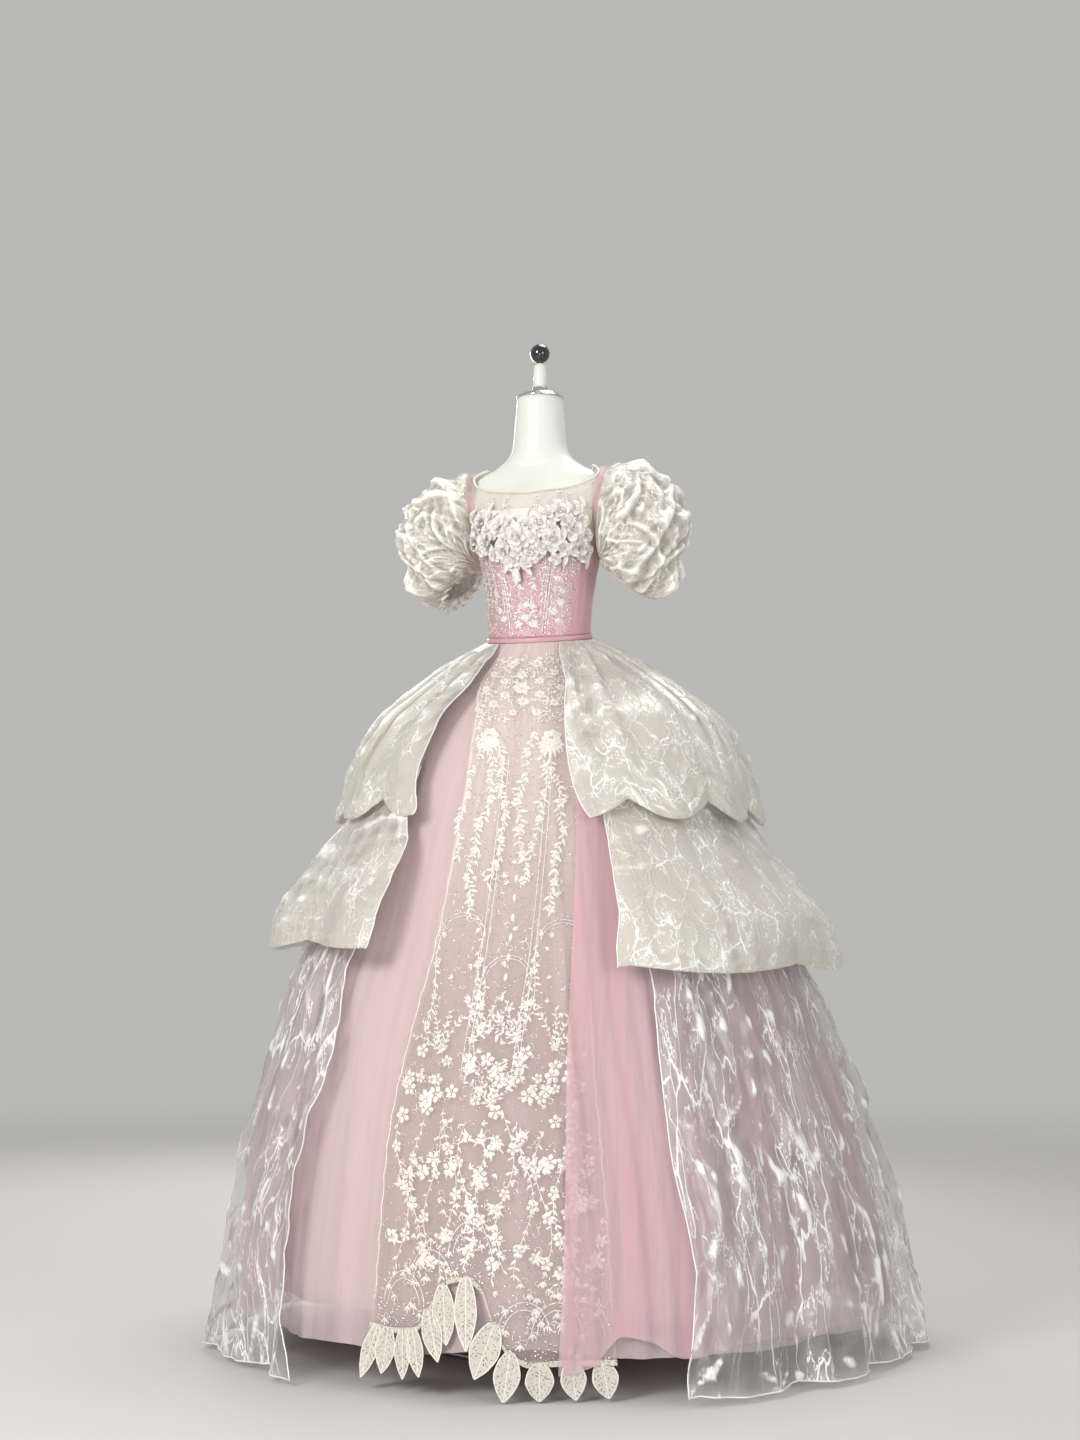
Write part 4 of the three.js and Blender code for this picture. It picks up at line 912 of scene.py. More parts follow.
# Long pleats that all the skirt layers share, fine at the hip and full at the hem: place and width in
# degrees at the hem, height in millimetres, where it starts, and how far it wanders towards the waist
PLEATS = table("angle width height top wander", """
    -62 4.2 9 1240 3, -54 3.0 7 1100 -2, -47 4.6 11 1290 4, -39 2.6 6 1000 1, -33 4.0 10 1280 3,
    -25 3.2 6 1180 2, -17.5 2.2 5 900 1, -7 2.6 3 800 1, 3 2.2 3.4 960 -1, 11 2.4 3 820 -1,
    18.5 1.8 6 1250 -3, 22.5 2.0 9 1280 -3, 26.6 1.7 7 1180 -2, 30.4 2.2 11 1290 -3, 34.4 1.6 8 1080 -2,
    38.2 2.4 10 1260 -2, 44 2.8 8 1000 -2, 52 4.0 10 1200 2, 61 3.4 8 1100 -2, 70 4.2 10 1240 2,
    80 3.6 9 1040 -1, 90 4.4 10 1200 2, 101 3.6 8 1100 -2, 112 4.4 11 1240 2, 123 3.4 8 1020 1,
    134 4.6 10 1180 -2, 146 3.6 9 1100 2, 157 4.4 11 1260 -1, 168 3.6 8 1060 2, 179 4.6 11 1220 1,
    191 3.8 9 1100 -2, 202 4.4 10 1240 2, 213 3.4 8 1000 -1, 224 4.6 11 1200 2, 236 3.6 9 1100 -2,
    247 4.4 10 1240 1, 258 3.6 8 1060 2, 268 4.2 10 1200 -2, 279 3.4 8 1100 1, 289 4.2 10 1220 2""")
PLEAT_MIDDLE = 4.5  # what the pleats add on average at the hem


def pleats(z, angle):
    total = np.zeros(np.broadcast(z, angle).shape)
    for place, width, height, top, wander in each(PLEATS, "angle width height top wander"):
        grown = ramp(top, min(top, 900) - 620, z)
        aside = around_turn(angle - wander * ramp(100, 1250, z), place)
        steep = np.where(aside > 0, width * 0.5, width * 1.1)
        total = total + height * grown * np.exp(-((aside / steep) ** 2))
    return total - PLEAT_MIDDLE * ramp(1100, 300, z)


def layer_gap(z):
    return mix(mix(9, 5, ramp(700, 1200, z)), 1.9, ramp(1280, 1330, z))


def skirt_fold(z, angle):
    t = np.radians(angle)
    wave = 0.55 * np.sin(11 * t + 0.8) + 0.45 * np.sin(7 * t + 2.4) + 0.2 * np.sin(3 * t)
    return FOLD * ramp(WAIST_SEAM_Z, 60, z) * wave + 0.8 * pleats(z, angle)


def on_skirt(z, angle, layer=0.0, out=0.0):
    z, angle = np.broadcast_arrays(np.asarray(z, float), np.asarray(angle, float))
    t = np.radians(angle)
    more = layer * layer_gap(z) + out + skirt_fold(z, angle)
    drop = z - FRONT_DIP * (1 + np.cos(t)) * ramp(1100, WAIST_SEAM_Z, z) / 2
    return np.stack([skirt_x(z) + (skirt_side(z) + more) * np.sin(t),
                     skirt_y(z) - (skirt_depth(z) + more) * np.cos(t), drop], -1)


def skirt_rows(hem, count):
    """Heights from the waist to a hem that may move with the angle."""
    share = np.linspace(0, 1, count)[:, None] ** 1.15
    return mix(WAIST_SEAM_Z, hem, share)


def hem_wave(angle):
    return 7 * np.sin(np.radians(5 * angle + 40)) + 5 * np.sin(np.radians(11 * angle))


UNDERSKIRT_HEM, UNDERSKIRT_ROWS, UNDERSKIRT_COLUMNS = 130, 52, 260
TULLE_HEM, TULLE_ROWS, TULLE_COLUMNS = 72, 76, 420


def add_underskirts():
    angle = degrees_round(UNDERSKIRT_COLUMNS)
    satin = on_skirt(skirt_rows(UNDERSKIRT_HEM + hem_wave(angle), UNDERSKIRT_ROWS), angle, -1)
    satin = sheet_mesh("underskirt_satin", satin, LOOKS["skirt_satin"], True, 0.8)
    dress(satin, "underskirt", slot="skirt_satin", held="hung")
    angle = degrees_round(TULLE_COLUMNS)
    z = skirt_rows(TULLE_HEM + hem_wave(angle), TULLE_ROWS)
    ripple = 1.4 * ramp(1200, 500, z) * np.sin(np.radians(angle) * 61 + 1.5 * np.sin(z / 160))
    tulle = sheet_mesh("tulle_skirt_net", on_skirt(z, angle, 0, ripple), LOOKS["tulle"], True)
    dress(tulle, "tulle_skirt", slot="tulle", held="hung", rests_on="underskirt_satin")


OVERLAY_EDGE = table("z left", """
    1330 33, 1240 33, 1160 31, 1000 26.5, 720 22.5, 380 19, 40 16.6""")
OVERLAY_HEM = table("angle z", """
    16.6 42, 22 56, 27 105, 31 98, 36 70, 50 84, 90 62, 135 80, 180 58, 230 78, 275 60, 316 80""")
OVERLAY_RIGHT = 316
OVERLAY_LAYER = 2
OVERLAY_ROWS, OVERLAY_COLUMNS = 84, 440
overlay_edge, overlay_hem = column(OVERLAY_EDGE, "left"), column(OVERLAY_HEM, "z", "angle")


def add_overlay():
    share = np.linspace(0, 1, OVERLAY_COLUMNS)[None]
    z, angle = settle(skirt_rows(60 + 0 * share, OVERLAY_ROWS), overlay_edge, lambda z: OVERLAY_RIGHT,
                      share**1.15, lambda a: skirt_rows(overlay_hem(a), OVERLAY_ROWS), 4)
    ripple = 1.5 * ramp(1250, 500, z) * np.sin(np.radians(angle) * 74 + 1.2 * np.sin(z / 140 + 1))
    points = on_skirt(z, angle, OVERLAY_LAYER, ripple)
    overlay = sheet_mesh("tulle_overlay_net", points, LOOKS["tulle_pink"])
    dress(overlay, "tulle_overlay", slot="tulle_pink", held="hung", rests_on="tulle_skirt_net")


# Motifs, drawn flat in millimetres: x across, y up, and a height out of the cloth

ANY_TURN = 6.3  # how far a loose motif may be turned
CONE = [(i, (i + 1) % 6, 6) for i in range(6)]
BLADE_FACES = quads(5, 3)


def polar(x, y, r, turn):
    return np.stack([x + r * np.cos(turn), y + r * np.sin(turn)], -1)


def arc(x, y, r, start, end, steps, squash):
    turns = np.radians(np.linspace(start, end, steps))
    return np.stack([x + r * np.cos(turns), y + squash * r * np.sin(turns)], -1)


def scroll(x, y, r, turn, hand):
    """A curl that tightens as it goes."""
    share = np.linspace(0, 1, 14)
    centre_x, centre_y = x - r * math.cos(turn), y - r * math.sin(turn)
    return polar(centre_x, centre_y, r * (1 - 0.82 * share), turn + hand * share * 4.4)


def strewn(rng, count, across, up, inside):
    """Random places of a box, those that lie inside a shape."""
    for _ in range(count):
        x, y = rng.uniform(*across), rng.uniform(*up)
        if inside(x, y):
            yield x, y


def run_of(path):
    """How far along a path each of its points lies."""
    return np.concatenate([[0], np.cumsum(np.linalg.norm(np.diff(path, axis=0), axis=1))])


def point_at(path, run, at):
    return np.interp(at, run, path[:, 0]), np.interp(at, run, path[:, 1])


class Drawing(Batch):
    """Flat motifs that are laid on a cloth together."""

    def bead(self, x, y, r, high=None):
        ring = [(x + r * math.cos(t), y + r * math.sin(t), 0) for t in HEXAGON]
        self.add([*ring, (x, y, high or r)], CONE)

    def bead_row(self, path, spacing, r):
        run = run_of(path)
        for at in np.arange(0, run[-1], spacing):
            self.bead(*point_at(path, run, at), r)

    def line(self, path, width, high):
        side = unit(np.gradient(path, axis=0))[:, ::-1] * (-width / 2, width / 2)
        heights = ((path - side, 0), (path, high), (path + side, 0))
        self.add(np.stack([np.insert(edge, 2, z, axis=1) for edge, z in heights], 1), quads(len(path), 3))

    def blade(self, x, y, turn, length, width, high, full=0.5):
        """A leaf or petal with a raised middle; full is how far along it is widest."""
        stations = ((0.0, 0.1), (full * 0.55, 0.42), (full, 0.5), ((full + 1) / 2, 0.36), (1.0, 0.06))
        along, half = np.array(stations).T[..., None]
        lift = np.sin(math.pi * np.minimum(0.92, along + 0.12)) * (0, high, 0)
        u, v = along * length, half * (-width, 0, width)
        c, s = math.cos(turn), math.sin(turn)
        self.add(np.stack([x + u * c - v * s, y + u * s + v * c, lift], -1), BLADE_FACES)

    def bloom(self, x, y, r, count=5, turn=0.0, high=1.6):
        for k in range(count):
            t = turn + FULL_TURN * k / count
            root = polar(x, y, 0.2 * r, t)
            self.blade(*root, t, r * 0.8, r * 0.66, high, 0.62)
        self.bead(x, y, r * 0.14, high * 1.3)

    def vine(self, path, spacing, leaf, seed, bloom=0.0, every=4, both=True, width=1.5):
        """A stem with leaves by turns, and a flower now and then."""
        self.line(path, width, 0.9)
        run = run_of(path)
        rng = np.random.default_rng(seed)
        for k, at in enumerate(np.arange(spacing / 2, run[-1], spacing)):
            x, y = point_at(path, run, at)
            next_x, next_y = point_at(path, run, min(at + 2, run[-1]))
            turn = math.atan2(next_y - y, next_x - x)
            for side in (1, -1) if both and rng.random() < 0.45 else (1 if k % 2 else -1,):
                size = leaf * rng.uniform(0.55, 1.3)
                self.blade(x, y, turn + side * rng.uniform(0.35, 1.25), size, size * 0.34, 1.1)
            if bloom and k % every == every - 1:
                x = x + rng.uniform(-2, 2)
                self.bloom(x, y, bloom * rng.uniform(0.85, 1.15), 5, rng.uniform(0, 1))

    def curl(self, rng, x, y, least, most, width=1.2):
        """A small scroll of a random size and turn, from a leaf to a bead."""
        r, turn, hand = rng.uniform(least, most), rng.uniform(0, ANY_TURN), rng.choice((-1, 1))
        path = scroll(x, y, r, turn, hand)
        self.line(path, width, 1.0)
        self.blade(path[1, 0], path[1, 1], turn + hand * 0.5, r * 0.8, r * 0.3, 1.2)
        self.bead(path[-1, 0], path[-1, 1], r * 0.16, 1.4)

    def lay(self, name, place, look):
        """The drawing on a cloth: place(x, y, height) gives its points."""
        self.points = [place(*np.concatenate(self.points).T)]
        return self.build(name, look)


# The lace panel

LACE = table("z right left", """
    1330 -24 33, 1290 -26 34, 1240 -24 34, 1160 -15 33, 1000 -9 29, 720 -11 27, 380 -16 26,
    90 -16.5 26""")
LACE_HEM = table("angle z", """
    -17 104, -12 98, -7 104, -4 146, -1 186, 2 192, 4.5 174, 6.8 108, 9 72, 12.6 54, 17 56, 26 58""")
lace_right, lace_left = column(LACE, "right"), column(LACE, "left")
lace_hem = column(LACE_HEM, "z", "angle")


def lace_middle(z):
    return (lace_right(z) + lace_left(z)) / 2


def skirt_radius(z):
    return (skirt_side(z) + skirt_depth(z)) / 2


def lace_half(z):
    """Half of the panel's width in millimetres."""
    return np.radians((lace_left(z) - lace_right(z)) / 2) * skirt_radius(z)


def on_lace(x, y, high=0.0):
    """A point of the panel from millimetres across and its height on the skirt."""
    return on_skirt(y, lace_middle(y) + np.degrees(x / skirt_radius(y)), 1, 0.5 + high)


def lace_hem_at(x):
    y = 90.0
    for _ in range(8):
        y = float(lace_hem(lace_middle(y) + math.degrees(x / skirt_radius(y))))
    return y


def across_lace(rng, y, margin):
    return rng.uniform(-1, 1) * (lace_half(y) - margin)


MEDALLION_Z, MEDALLION_HALF = 1226, 84


def draw_medallion(threads, rng):
    """A dense medallion of small curls and flowers under the waist."""
    for ring, (count, r, size) in enumerate(((1, 0, 15), (6, 36, 10), (10, 68, 9))):
        for k in range(count):
            t = FULL_TURN * (k + 0.5 * ring) / count
            x, y = r * math.cos(t), MEDALLION_Z + 0.9 * r * math.sin(t)
            threads.bloom(x, y, size * rng.uniform(0.85, 1.1), 6, t)
    across = (-MEDALLION_HALF, MEDALLION_HALF)
    for x, y in strewn(rng, 150, across, (1148, 1300), lambda x, y: abs(x) < lace_half(y) - 8):
        threads.curl(rng, x, y, 6, 12, 1.1)
    for x, y in strewn(rng, 120, across, (1150, 1302), lambda x, y: abs(x) < lace_half(y) - 6):
        threads.blade(x, y, rng.uniform(0, ANY_TURN), rng.uniform(6, 11), 3.2, 1.1)


GARLANDS = table("x top low bloom", """
    -82 1190 900 7, -60 1090 790 8, -30 1110 850 7, 4 1130 850 8, 30 1100 900 7, 58 1080 800 8,
    92 1190 930 7""")


def draw_garlands(threads, rng):
    """Garlands that hang from the medallion, uneven in length, with a big flower at each side."""
    for k, (x, top, low, bloom) in enumerate(each(GARLANDS, "x top low bloom")):
        y = np.linspace(top, low, 50)
        sway = 9 * np.sin(y / 41 + 1.9 * k) + 4 * np.sin(y / 13 + k)
        path = np.stack([x * (1 + (top - y) / 900) + sway, y], -1)
        threads.vine(path, 8, 13, 50 + k, bloom, 6, width=1.1)
        for at in range(3, 48, 5):
            threads.curl(rng, *path[at], 5, 8, 0.9)
    for x, y in ((-64, 1118), (48, 1112)):
        threads.bloom(x, y, 19, 7, x / 90, 2.4)
        for k in range(9):
            threads.blade(x, y, -2.7 + 0.27 * k, 40 - 3 * abs(k - 4), 8, 1.6)


BEAD_COLUMNS = ((-34, -52, 1080, 520), (-26, -42, 1080, 540), (42, 34, 1060, 520), (50, 44, 1060, 540))
ARCHES = ((-86, 760, 44), (90, 750, 42), (4, 690, 40))


def draw_columns(threads, beads):
    """Straight bead columns in pairs, with arches between them and a lattice of chevrons."""
    for x0, x1, top, low in BEAD_COLUMNS:
        y = np.linspace(top, low, 80)
        path = np.stack([mix(x0, x1, (top - y) / (top - low)), y], -1)
        threads.line(path, 1.4, 0.8)
        beads.bead_row(path + (2.4, 0), 4.6, 1.3)
    for x, y, r in ARCHES:
        for gap in (0, 6):
            path = arc(x, y, r - gap, 0, 180, 26, 0.9)
            threads.line(path, 1.4, 0.9)
            beads.bead_row(path, 4.4, 1.2)
        for side in (-1, 1):
            fall = np.linspace(y, y - 150, 24)
            path = np.stack([x + side * (r - 3) + 4 * np.sin(fall / 20), fall], -1)
            threads.vine(path, 11, 10, int(r + side), 7, 5)
    for k in range(9):
        y = 900 - 34 * k
        beads.bead_row(np.array([(-30, y), (2, y - 30), (34, y)]), 5.2, 1.3)
        threads.blade(2, y - 34, -math.pi / 2, 14, 6, 1.2)


FRONDS = ((-92, 560, 1.9), (-30, 590, 1.2), (34, 580, 1.9), (98, 565, 1.2), (4, 470, 1.57))


def flower_and_curl(threads, rng, x, y, largest, aside, *curl):
    threads.bloom(x, y, rng.uniform(8, largest), 5, rng.uniform(0, 1.2), 2.2)
    threads.curl(rng, x + rng.uniform(-aside, aside), y, *curl)


def draw_fronds(threads, rng):
    """Fronds that fan out over big flower clusters."""
    s = np.linspace(0, 1, 16)
    for x, y, lean in FRONDS:
        for k in range(5):
            bend = lean + (k - 2) * 0.32 + 0.5 * (s - 0.5) * (k - 2) * 0.4
            threads.vine(polar(x, y, 74 * s, bend), 8, 9, int(200 + x + k), width=1.2)
    for k in range(46):
        y = 560 - 2.0 * k + rng.uniform(-26, 26)
        flower_and_curl(threads, rng, across_lace(rng, y, 16), y, 15, 14, 7, 11)


def draw_lower_panel(threads, rng):
    """Vines, single flowers and loose sprigs over the lower panel."""
    for k in range(11):
        x0 = mix(-160, 160, k / 10)
        y = np.linspace(470 - 20 * (k % 3), 210 - 16 * (k % 2), 46)
        half = lace_half(y) - 10
        path = np.stack([np.clip(x0 + 15 * np.sin(y / 38 + 1.7 * k), -half, half), y], -1)
        threads.vine(path, 12.5, 11, 80 + k, 11, 6, both=bool(k % 2))
    for k in range(34):
        y = rng.uniform(190, 430)
        x = across_lace(rng, y, 18)
        flower_and_curl(threads, rng, x, y, 14, 16, 8, 13)
        for turn in rng.uniform(0, ANY_TURN, 3):
            threads.blade(x, y, turn, 17, 5, 1.2)
    for k in range(190):
        y = rng.uniform(170, 600) if k % 3 else rng.uniform(600, 900)
        x = across_lace(rng, y, 14)
        if y <= lace_hem_at(x) + 16:
            continue
        if k % 2:
            threads.curl(rng, x, y, 5, 11, 1.0)
        else:
            turn = rng.uniform(0, ANY_TURN)
            for lean in (-0.6, 0, 0.6):
                threads.blade(x, y, turn + lean, rng.uniform(7, 12), 3, 1.1)


def draw_scallops(threads, beads, rng):
    """Double scallops over the hem, with rays round them and sprigs in them."""
    for x in (-150, -96, -18, 66, 122, 168):
        y = lace_hem_at(x) + 42
        for gap in (0, 9):
            path = arc(x, y, 44 - gap, 8, 172, 28, 1.35)
            half = lace_half(path[:, 1]) - 4
            path[:, 0] = np.clip(path[:, 0], -half, half)
            threads.line(path, 1.8, 1.1)
            beads.bead_row(path, 5, 1.3)
        for turn in np.radians(np.linspace(10, 170, 13)):
            ray_x, ray_y = x + 48 * math.cos(turn), y + 64 * math.sin(turn)
            if abs(ray_x) < lace_half(ray_y) - 14:
                threads.blade(ray_x, ray_y, turn, 9, 2, 0.9)
        for k in range(12):
            curl_x, curl_y = x + rng.uniform(-42, 42), y + rng.uniform(-24, 100)
            if abs(curl_x) < lace_half(curl_y) - 16 and curl_y > lace_hem_at(curl_x) + 14:
                threads.curl(rng, curl_x, curl_y, 6, 9, 0.9)
                for lean in (-0.7, 0, 0.7):
                    threads.blade(curl_x, curl_y, -1.57 + lean, rng.uniform(9, 13), 3.4, 1.0)


HEM_BEADS, PANEL_BEADS = 500, 2300


def strew_beads(beads, rng):
    """Small beads, thickest along the hem."""
    for k in range(HEM_BEADS):
        x = rng.uniform(-1, 1) * 215
        y = lace_hem_at(x) + rng.uniform(8, 150) * rng.random() + 6
        if abs(x) < lace_half(y) - 5:
            beads.bead(x, y, rng.uniform(1.1, 1.9))
    for k in range(PANEL_BEADS):
        y = rng.uniform(180, 1290)
        beads.bead(across_lace(rng, y, 5), y, rng.uniform(0.9, 1.7))


def draw_cords(threads):
    """Corded edges down both sides."""
    y = np.linspace(1280, 150, 240)
    for side in (1, -1):
        path = np.stack([side * (lace_half(y) - 3 - 2.5 * np.abs(np.sin(y / 16))), y], -1)
        threads.line(path, 2.0, 1.0)


LACE_ROWS, LACE_COLUMNS = 110, 150


def add_lace():
    share = np.linspace(0, 1, LACE_COLUMNS)[None]
    z, angle = settle(skirt_rows(80 + 0 * share, LACE_ROWS), lace_right, lace_left, share,
                      lambda a: skirt_rows(lace_hem(a), LACE_ROWS), 6)
    net = sheet_mesh("lace_net", on_skirt(z, angle, 1), LOOKS["lace"])
    threads, beads, rng = Drawing(), Drawing(), np.random.default_rng(21)
    draw_medallion(threads, rng)
    draw_garlands(threads, rng)
    draw_columns(threads, beads)
    draw_fronds(threads, rng)
    draw_lower_panel(threads, rng)
    draw_scallops(threads, beads, rng)
    strew_beads(beads, rng)
    draw_cords(threads)
    motifs = dress(threads.lay("lace_motifs", on_lace, LOOKS["thread"]), slot="lace")
    dots = dress(beads.lay("lace_beads", on_lace, LOOKS["silver"]), slot="lace")
    dress(net, "lace_panel", slot="lace", held="hung", rests_on="tulle_skirt_net",
          with_pieces=[motifs, dots])


# The leaf hem

LEAVES = table("angle drop width lean", """
    -15.2 86 32 -18, -12.8 68 42 -6, -9.6 74 36 3, -7.4 72 36 14, -4.6 80 40 18, -2 90 44 6, 2 112 40 2,
    6.4 86 50 -20, 9 72 44 -8, 13.6 54 48 0, 18.8 54 44 6, 23.8 54 44 10""")
LEAF_OUTLINE = table("along half", """
    0 0.16, 0.22 0.4, 0.48 0.5, 0.76 0.34, 1 0.02""")
leaf_half = column(LEAF_OUTLINE, "half", "along")
LEAF_OUT = 2.9
LEAF_ROWS, LEAF_COLUMNS = 22, 13
STRIP = 16
FLOOR_AIR = 3


def leaf_surface(angle, drop, lean, k):
    """A leaf as a curved blade: gives points from its length share and millimetres across."""
    z0 = float(lace_hem(angle))
    root = on_skirt(z0, angle, 1, LEAF_OUT)
    down = unit(on_skirt(z0 - 30, angle, 1, LEAF_OUT) - root)
    round_it = unit(on_skirt(z0, angle + 0.5, 1) - on_skirt(z0, angle - 0.5, 1))
    t = math.radians(lean)
    along = down * math.cos(t) + round_it * math.sin(t)
    across = round_it * math.cos(t) - down * math.sin(t)
    out = np.cross(along, across)
    start = -STRIP * 0.6
    length = min(drop, (root[2] - FLOOR_AIR) / -along[2] + 2) - start
    curl = 3 + 2 * math.sin(2.1 * k)

    def at(share, side, high=0.0):
        share, side, high = np.broadcast_arrays(*(np.asarray(a, float) for a in (share, side, high)))
        bend = 0.004 * side**2 + curl * share**2 - 1.5 * share
        point = root + along * (start + share * length)[..., None] + across * side[..., None]
        point = point + out * (bend + high)[..., None]
        point[..., 2] = np.maximum(point[..., 2], FLOOR_AIR)
        return point

    return at


def leaf_faces():
    """Both sides of a leaf and the thin rim between them."""
    rows, columns = LEAF_ROWS, LEAF_COLUMNS
    front, shift = quads(rows, columns), rows * columns
    edge = list(range(columns)) + [i * columns + columns - 1 for i in range(1, rows)]
    edge += [(rows - 1) * columns + j for j in range(columns - 2, -1, -1)]
    edge += [i * columns for i in range(rows - 2, 0, -1)]
    rim = [(a, b, shift + b, shift + a) for a, b in zip(edge, edge[1:] + edge[:1])]
    return np.concatenate([front, front[:, ::-1] + shift, rim])


def add_rib(veins, at, share, side, width):
    grid = [at(share, side - width, 0.1), at(share, side, 1.3), at(share, side + width, 0.1)]
    veins.add(np.stack(grid, 1), quads(len(share), 3))


def leaf_mesh_look():
    """Openwork between the veins: a cream mesh with small round holes, which are partly see-through and
    painted darker inside as painted shade.
    """
    look = Look("leaf_openwork", Roughness=0.65, Sheen_Weight=0.3)
    cover = look.range(look.web(look.place(), 240), 0.2, 0.34)
    # Painted shade: the holes are coloured a darker grey-brown than the mesh.
    look.to("Base Color", look.blend(cover, rgb(170, 160, 150), rgb(214, 207, 196)))
    look.to("Alpha", look.range(cover, 0, 1, 0.35, 0.95))
    return look.to("Normal", look.bump(cover, 0.0012, 0.7)).material


def add_leaf_hem():
    mesh_look = leaf_mesh_look()
    blades, veins, faces = Batch(), Batch(), leaf_faces()
    share = np.linspace(0, 1, LEAF_ROWS)[:, None]
    s, t = np.linspace(0.02, 0.985, 26), np.linspace(0, 1, 6)
    for k, (angle, drop, width, lean) in enumerate(each(LEAVES, "angle drop width lean")):
        at = leaf_surface(angle, drop, lean, k)
        side = np.linspace(-1, 1, LEAF_COLUMNS)[None] * leaf_half(share) * width
        blades.add(np.stack([at(share, side, 0.5), at(share, side, -0.5)]), faces)
        for sign in (1, -1):
            add_rib(veins, at, s, sign * (leaf_half(s) * width - 0.9), 1.3)
        add_rib(veins, at, s, 0 * s, 1.1)
        for q in np.linspace(0.16, 0.8, 7):
            for sign in (1, -1):
                add_rib(veins, at, q + 0.13 * t, sign * t * (leaf_half(q + 0.13 * t) * width - 1), 0.7)
    blades = dress(blades.build("leaf_blades", mesh_look), "leaf_hem", slot="leaf")
    veins = dress(veins.build("leaf_veins", LOOKS["leaf"]), slot="leaf")
    up = np.linspace(0.62 * STRIP, 0.5, 8)[:, None]
    angle = mix(lace_right(90), lace_left(90), np.linspace(0, 1, 160)[None])
    ripple = 0.5 * np.sin(angle * 9) * np.sin(math.pi * up / STRIP)
    strip = on_skirt(lace_hem(angle) + up, angle, 1, 3 + ripple)
    strip = sheet_mesh("leaf_strip", strip, mesh_look, thickness=1.2)
    dress(strip, slot="leaf", held="stretched", rests_on="lace_net", with_pieces=[blades, veins])


# The overskirt: three tiers, open at the front

TIER_1 = table("z out left right lobe", """
    1330 0 36 -33 0, 1302 34 31 -25 1, 1240 66 29 -22 4, 1160 96 25 -25 9, 1085 82 24.5 -25 15,
    1032 64 26 -22 20, 1000 52 28 -20.5 20, 986 42 29.4 -21.8 16, 1000 32 30.5 -24.5 6""")
TIER_2 = table("z out left right lobe", """
    1080 -4 33 -31 0, 985 18 33 -25.5 2, 880 53 32.5 -20 8, 790 88 32 -20.5 15, 735 82 31 -21 18,
    704 66 31 -22.2 18, 716 48 32 -25 8""")
TIER_3 = table("z out left right lobe", """
    790 1.2 38 -34 0, 700 9 38.4 -33 2, 560 15 37.2 -29 5, 400 16 36.5 -33 9, 220 20 37.8 -36 14,
    14 24 35 -28 23""")
TIER_SEAT = 2.3
TIERS = (  # gathers, phase, hem, rise and opening; rows and columns; look; hem's row, sway, crest's span
    (TIER_1, (14, 80, 2.2, 8, 0.4), (104, 520), "organza", 8, 17, 6),
    (TIER_2, (9, 30, 0.8, 42, 0.62), (84, 520), "organza", 6, 13, 6),
    (TIER_3, (19, 10, 0.3, 0, 1), (96, 600), "organza_sheer", 5, 8, 8.5),
)
CREASES = (  # turn from level, size and height in millimetres, for each tier
    ((58, 96, 5), (112, 120, 5), (82, 52, 3.2), (24, 70, 2.4), (146, 58, 2.2), (100, 26, 1.5),
     (40, 30, 1.4)),
    ((75, 92, 4.6), (104, 120, 5), (88, 46, 2.8), (20, 66, 2.2), (150, 54, 2), (96, 24, 1.4),
     (48, 28, 1.3)),
    ((4, 70, 7), (-6, 104, 8), (12, 46, 5), (170, 58, 6), (75, 100, 3.4), (110, 60, 2.6), (2, 26, 2.4)),
)
CLOTH_ROUND = 2400  # millimetres of creased cloth laid round a tier


def lobes(angle, count, phase):
    return np.abs(np.sin(np.radians(count * angle / 2 + phase))) - 0.4


def on_tier(rows, shape, row, share, out=0.0):
    """A point of a tier: a share of the table's rows, and a share round from the left front edge."""
    count, phase, hem, rise, opening = shape
    z, away, left, right, lobe = (column(rows, key, "row")(row) for key in "z out left right lobe".split())
    angle = mix(left, 360 + right, share)
    side = ramp(0.55, 0.95, share)
    front = mix(opening, 1, ramp(0, 0.15, share) * ramp(1, 0.85, share))
    gather = lobe * (lobes(angle, count, phase) + 0.4)
    low = ramp(rows["z"][0], rows["z"][-1], z)
    drop = hem * low * lobe * lobes(angle, count, phase) - rise * side * low
    point = on_skirt(z, angle, OVERLAY_LAYER, TIER_SEAT + away * front * mix(1, 0.7, side) + gather + out)
    point[..., 2] -= drop
    return point


def radiating(row, share):
    """Fine pleats that run out from the waist seam."""
    strength = 1.5 + 6.5 * noise(share * 23, row * 0.3, 6)
    waves = np.sin(share * 170 + 9 * noise(share * 16, row * 0.4, 5))
    return strength * ramp(0, 1.2, row) * ramp(5.5, 2, row) * waves


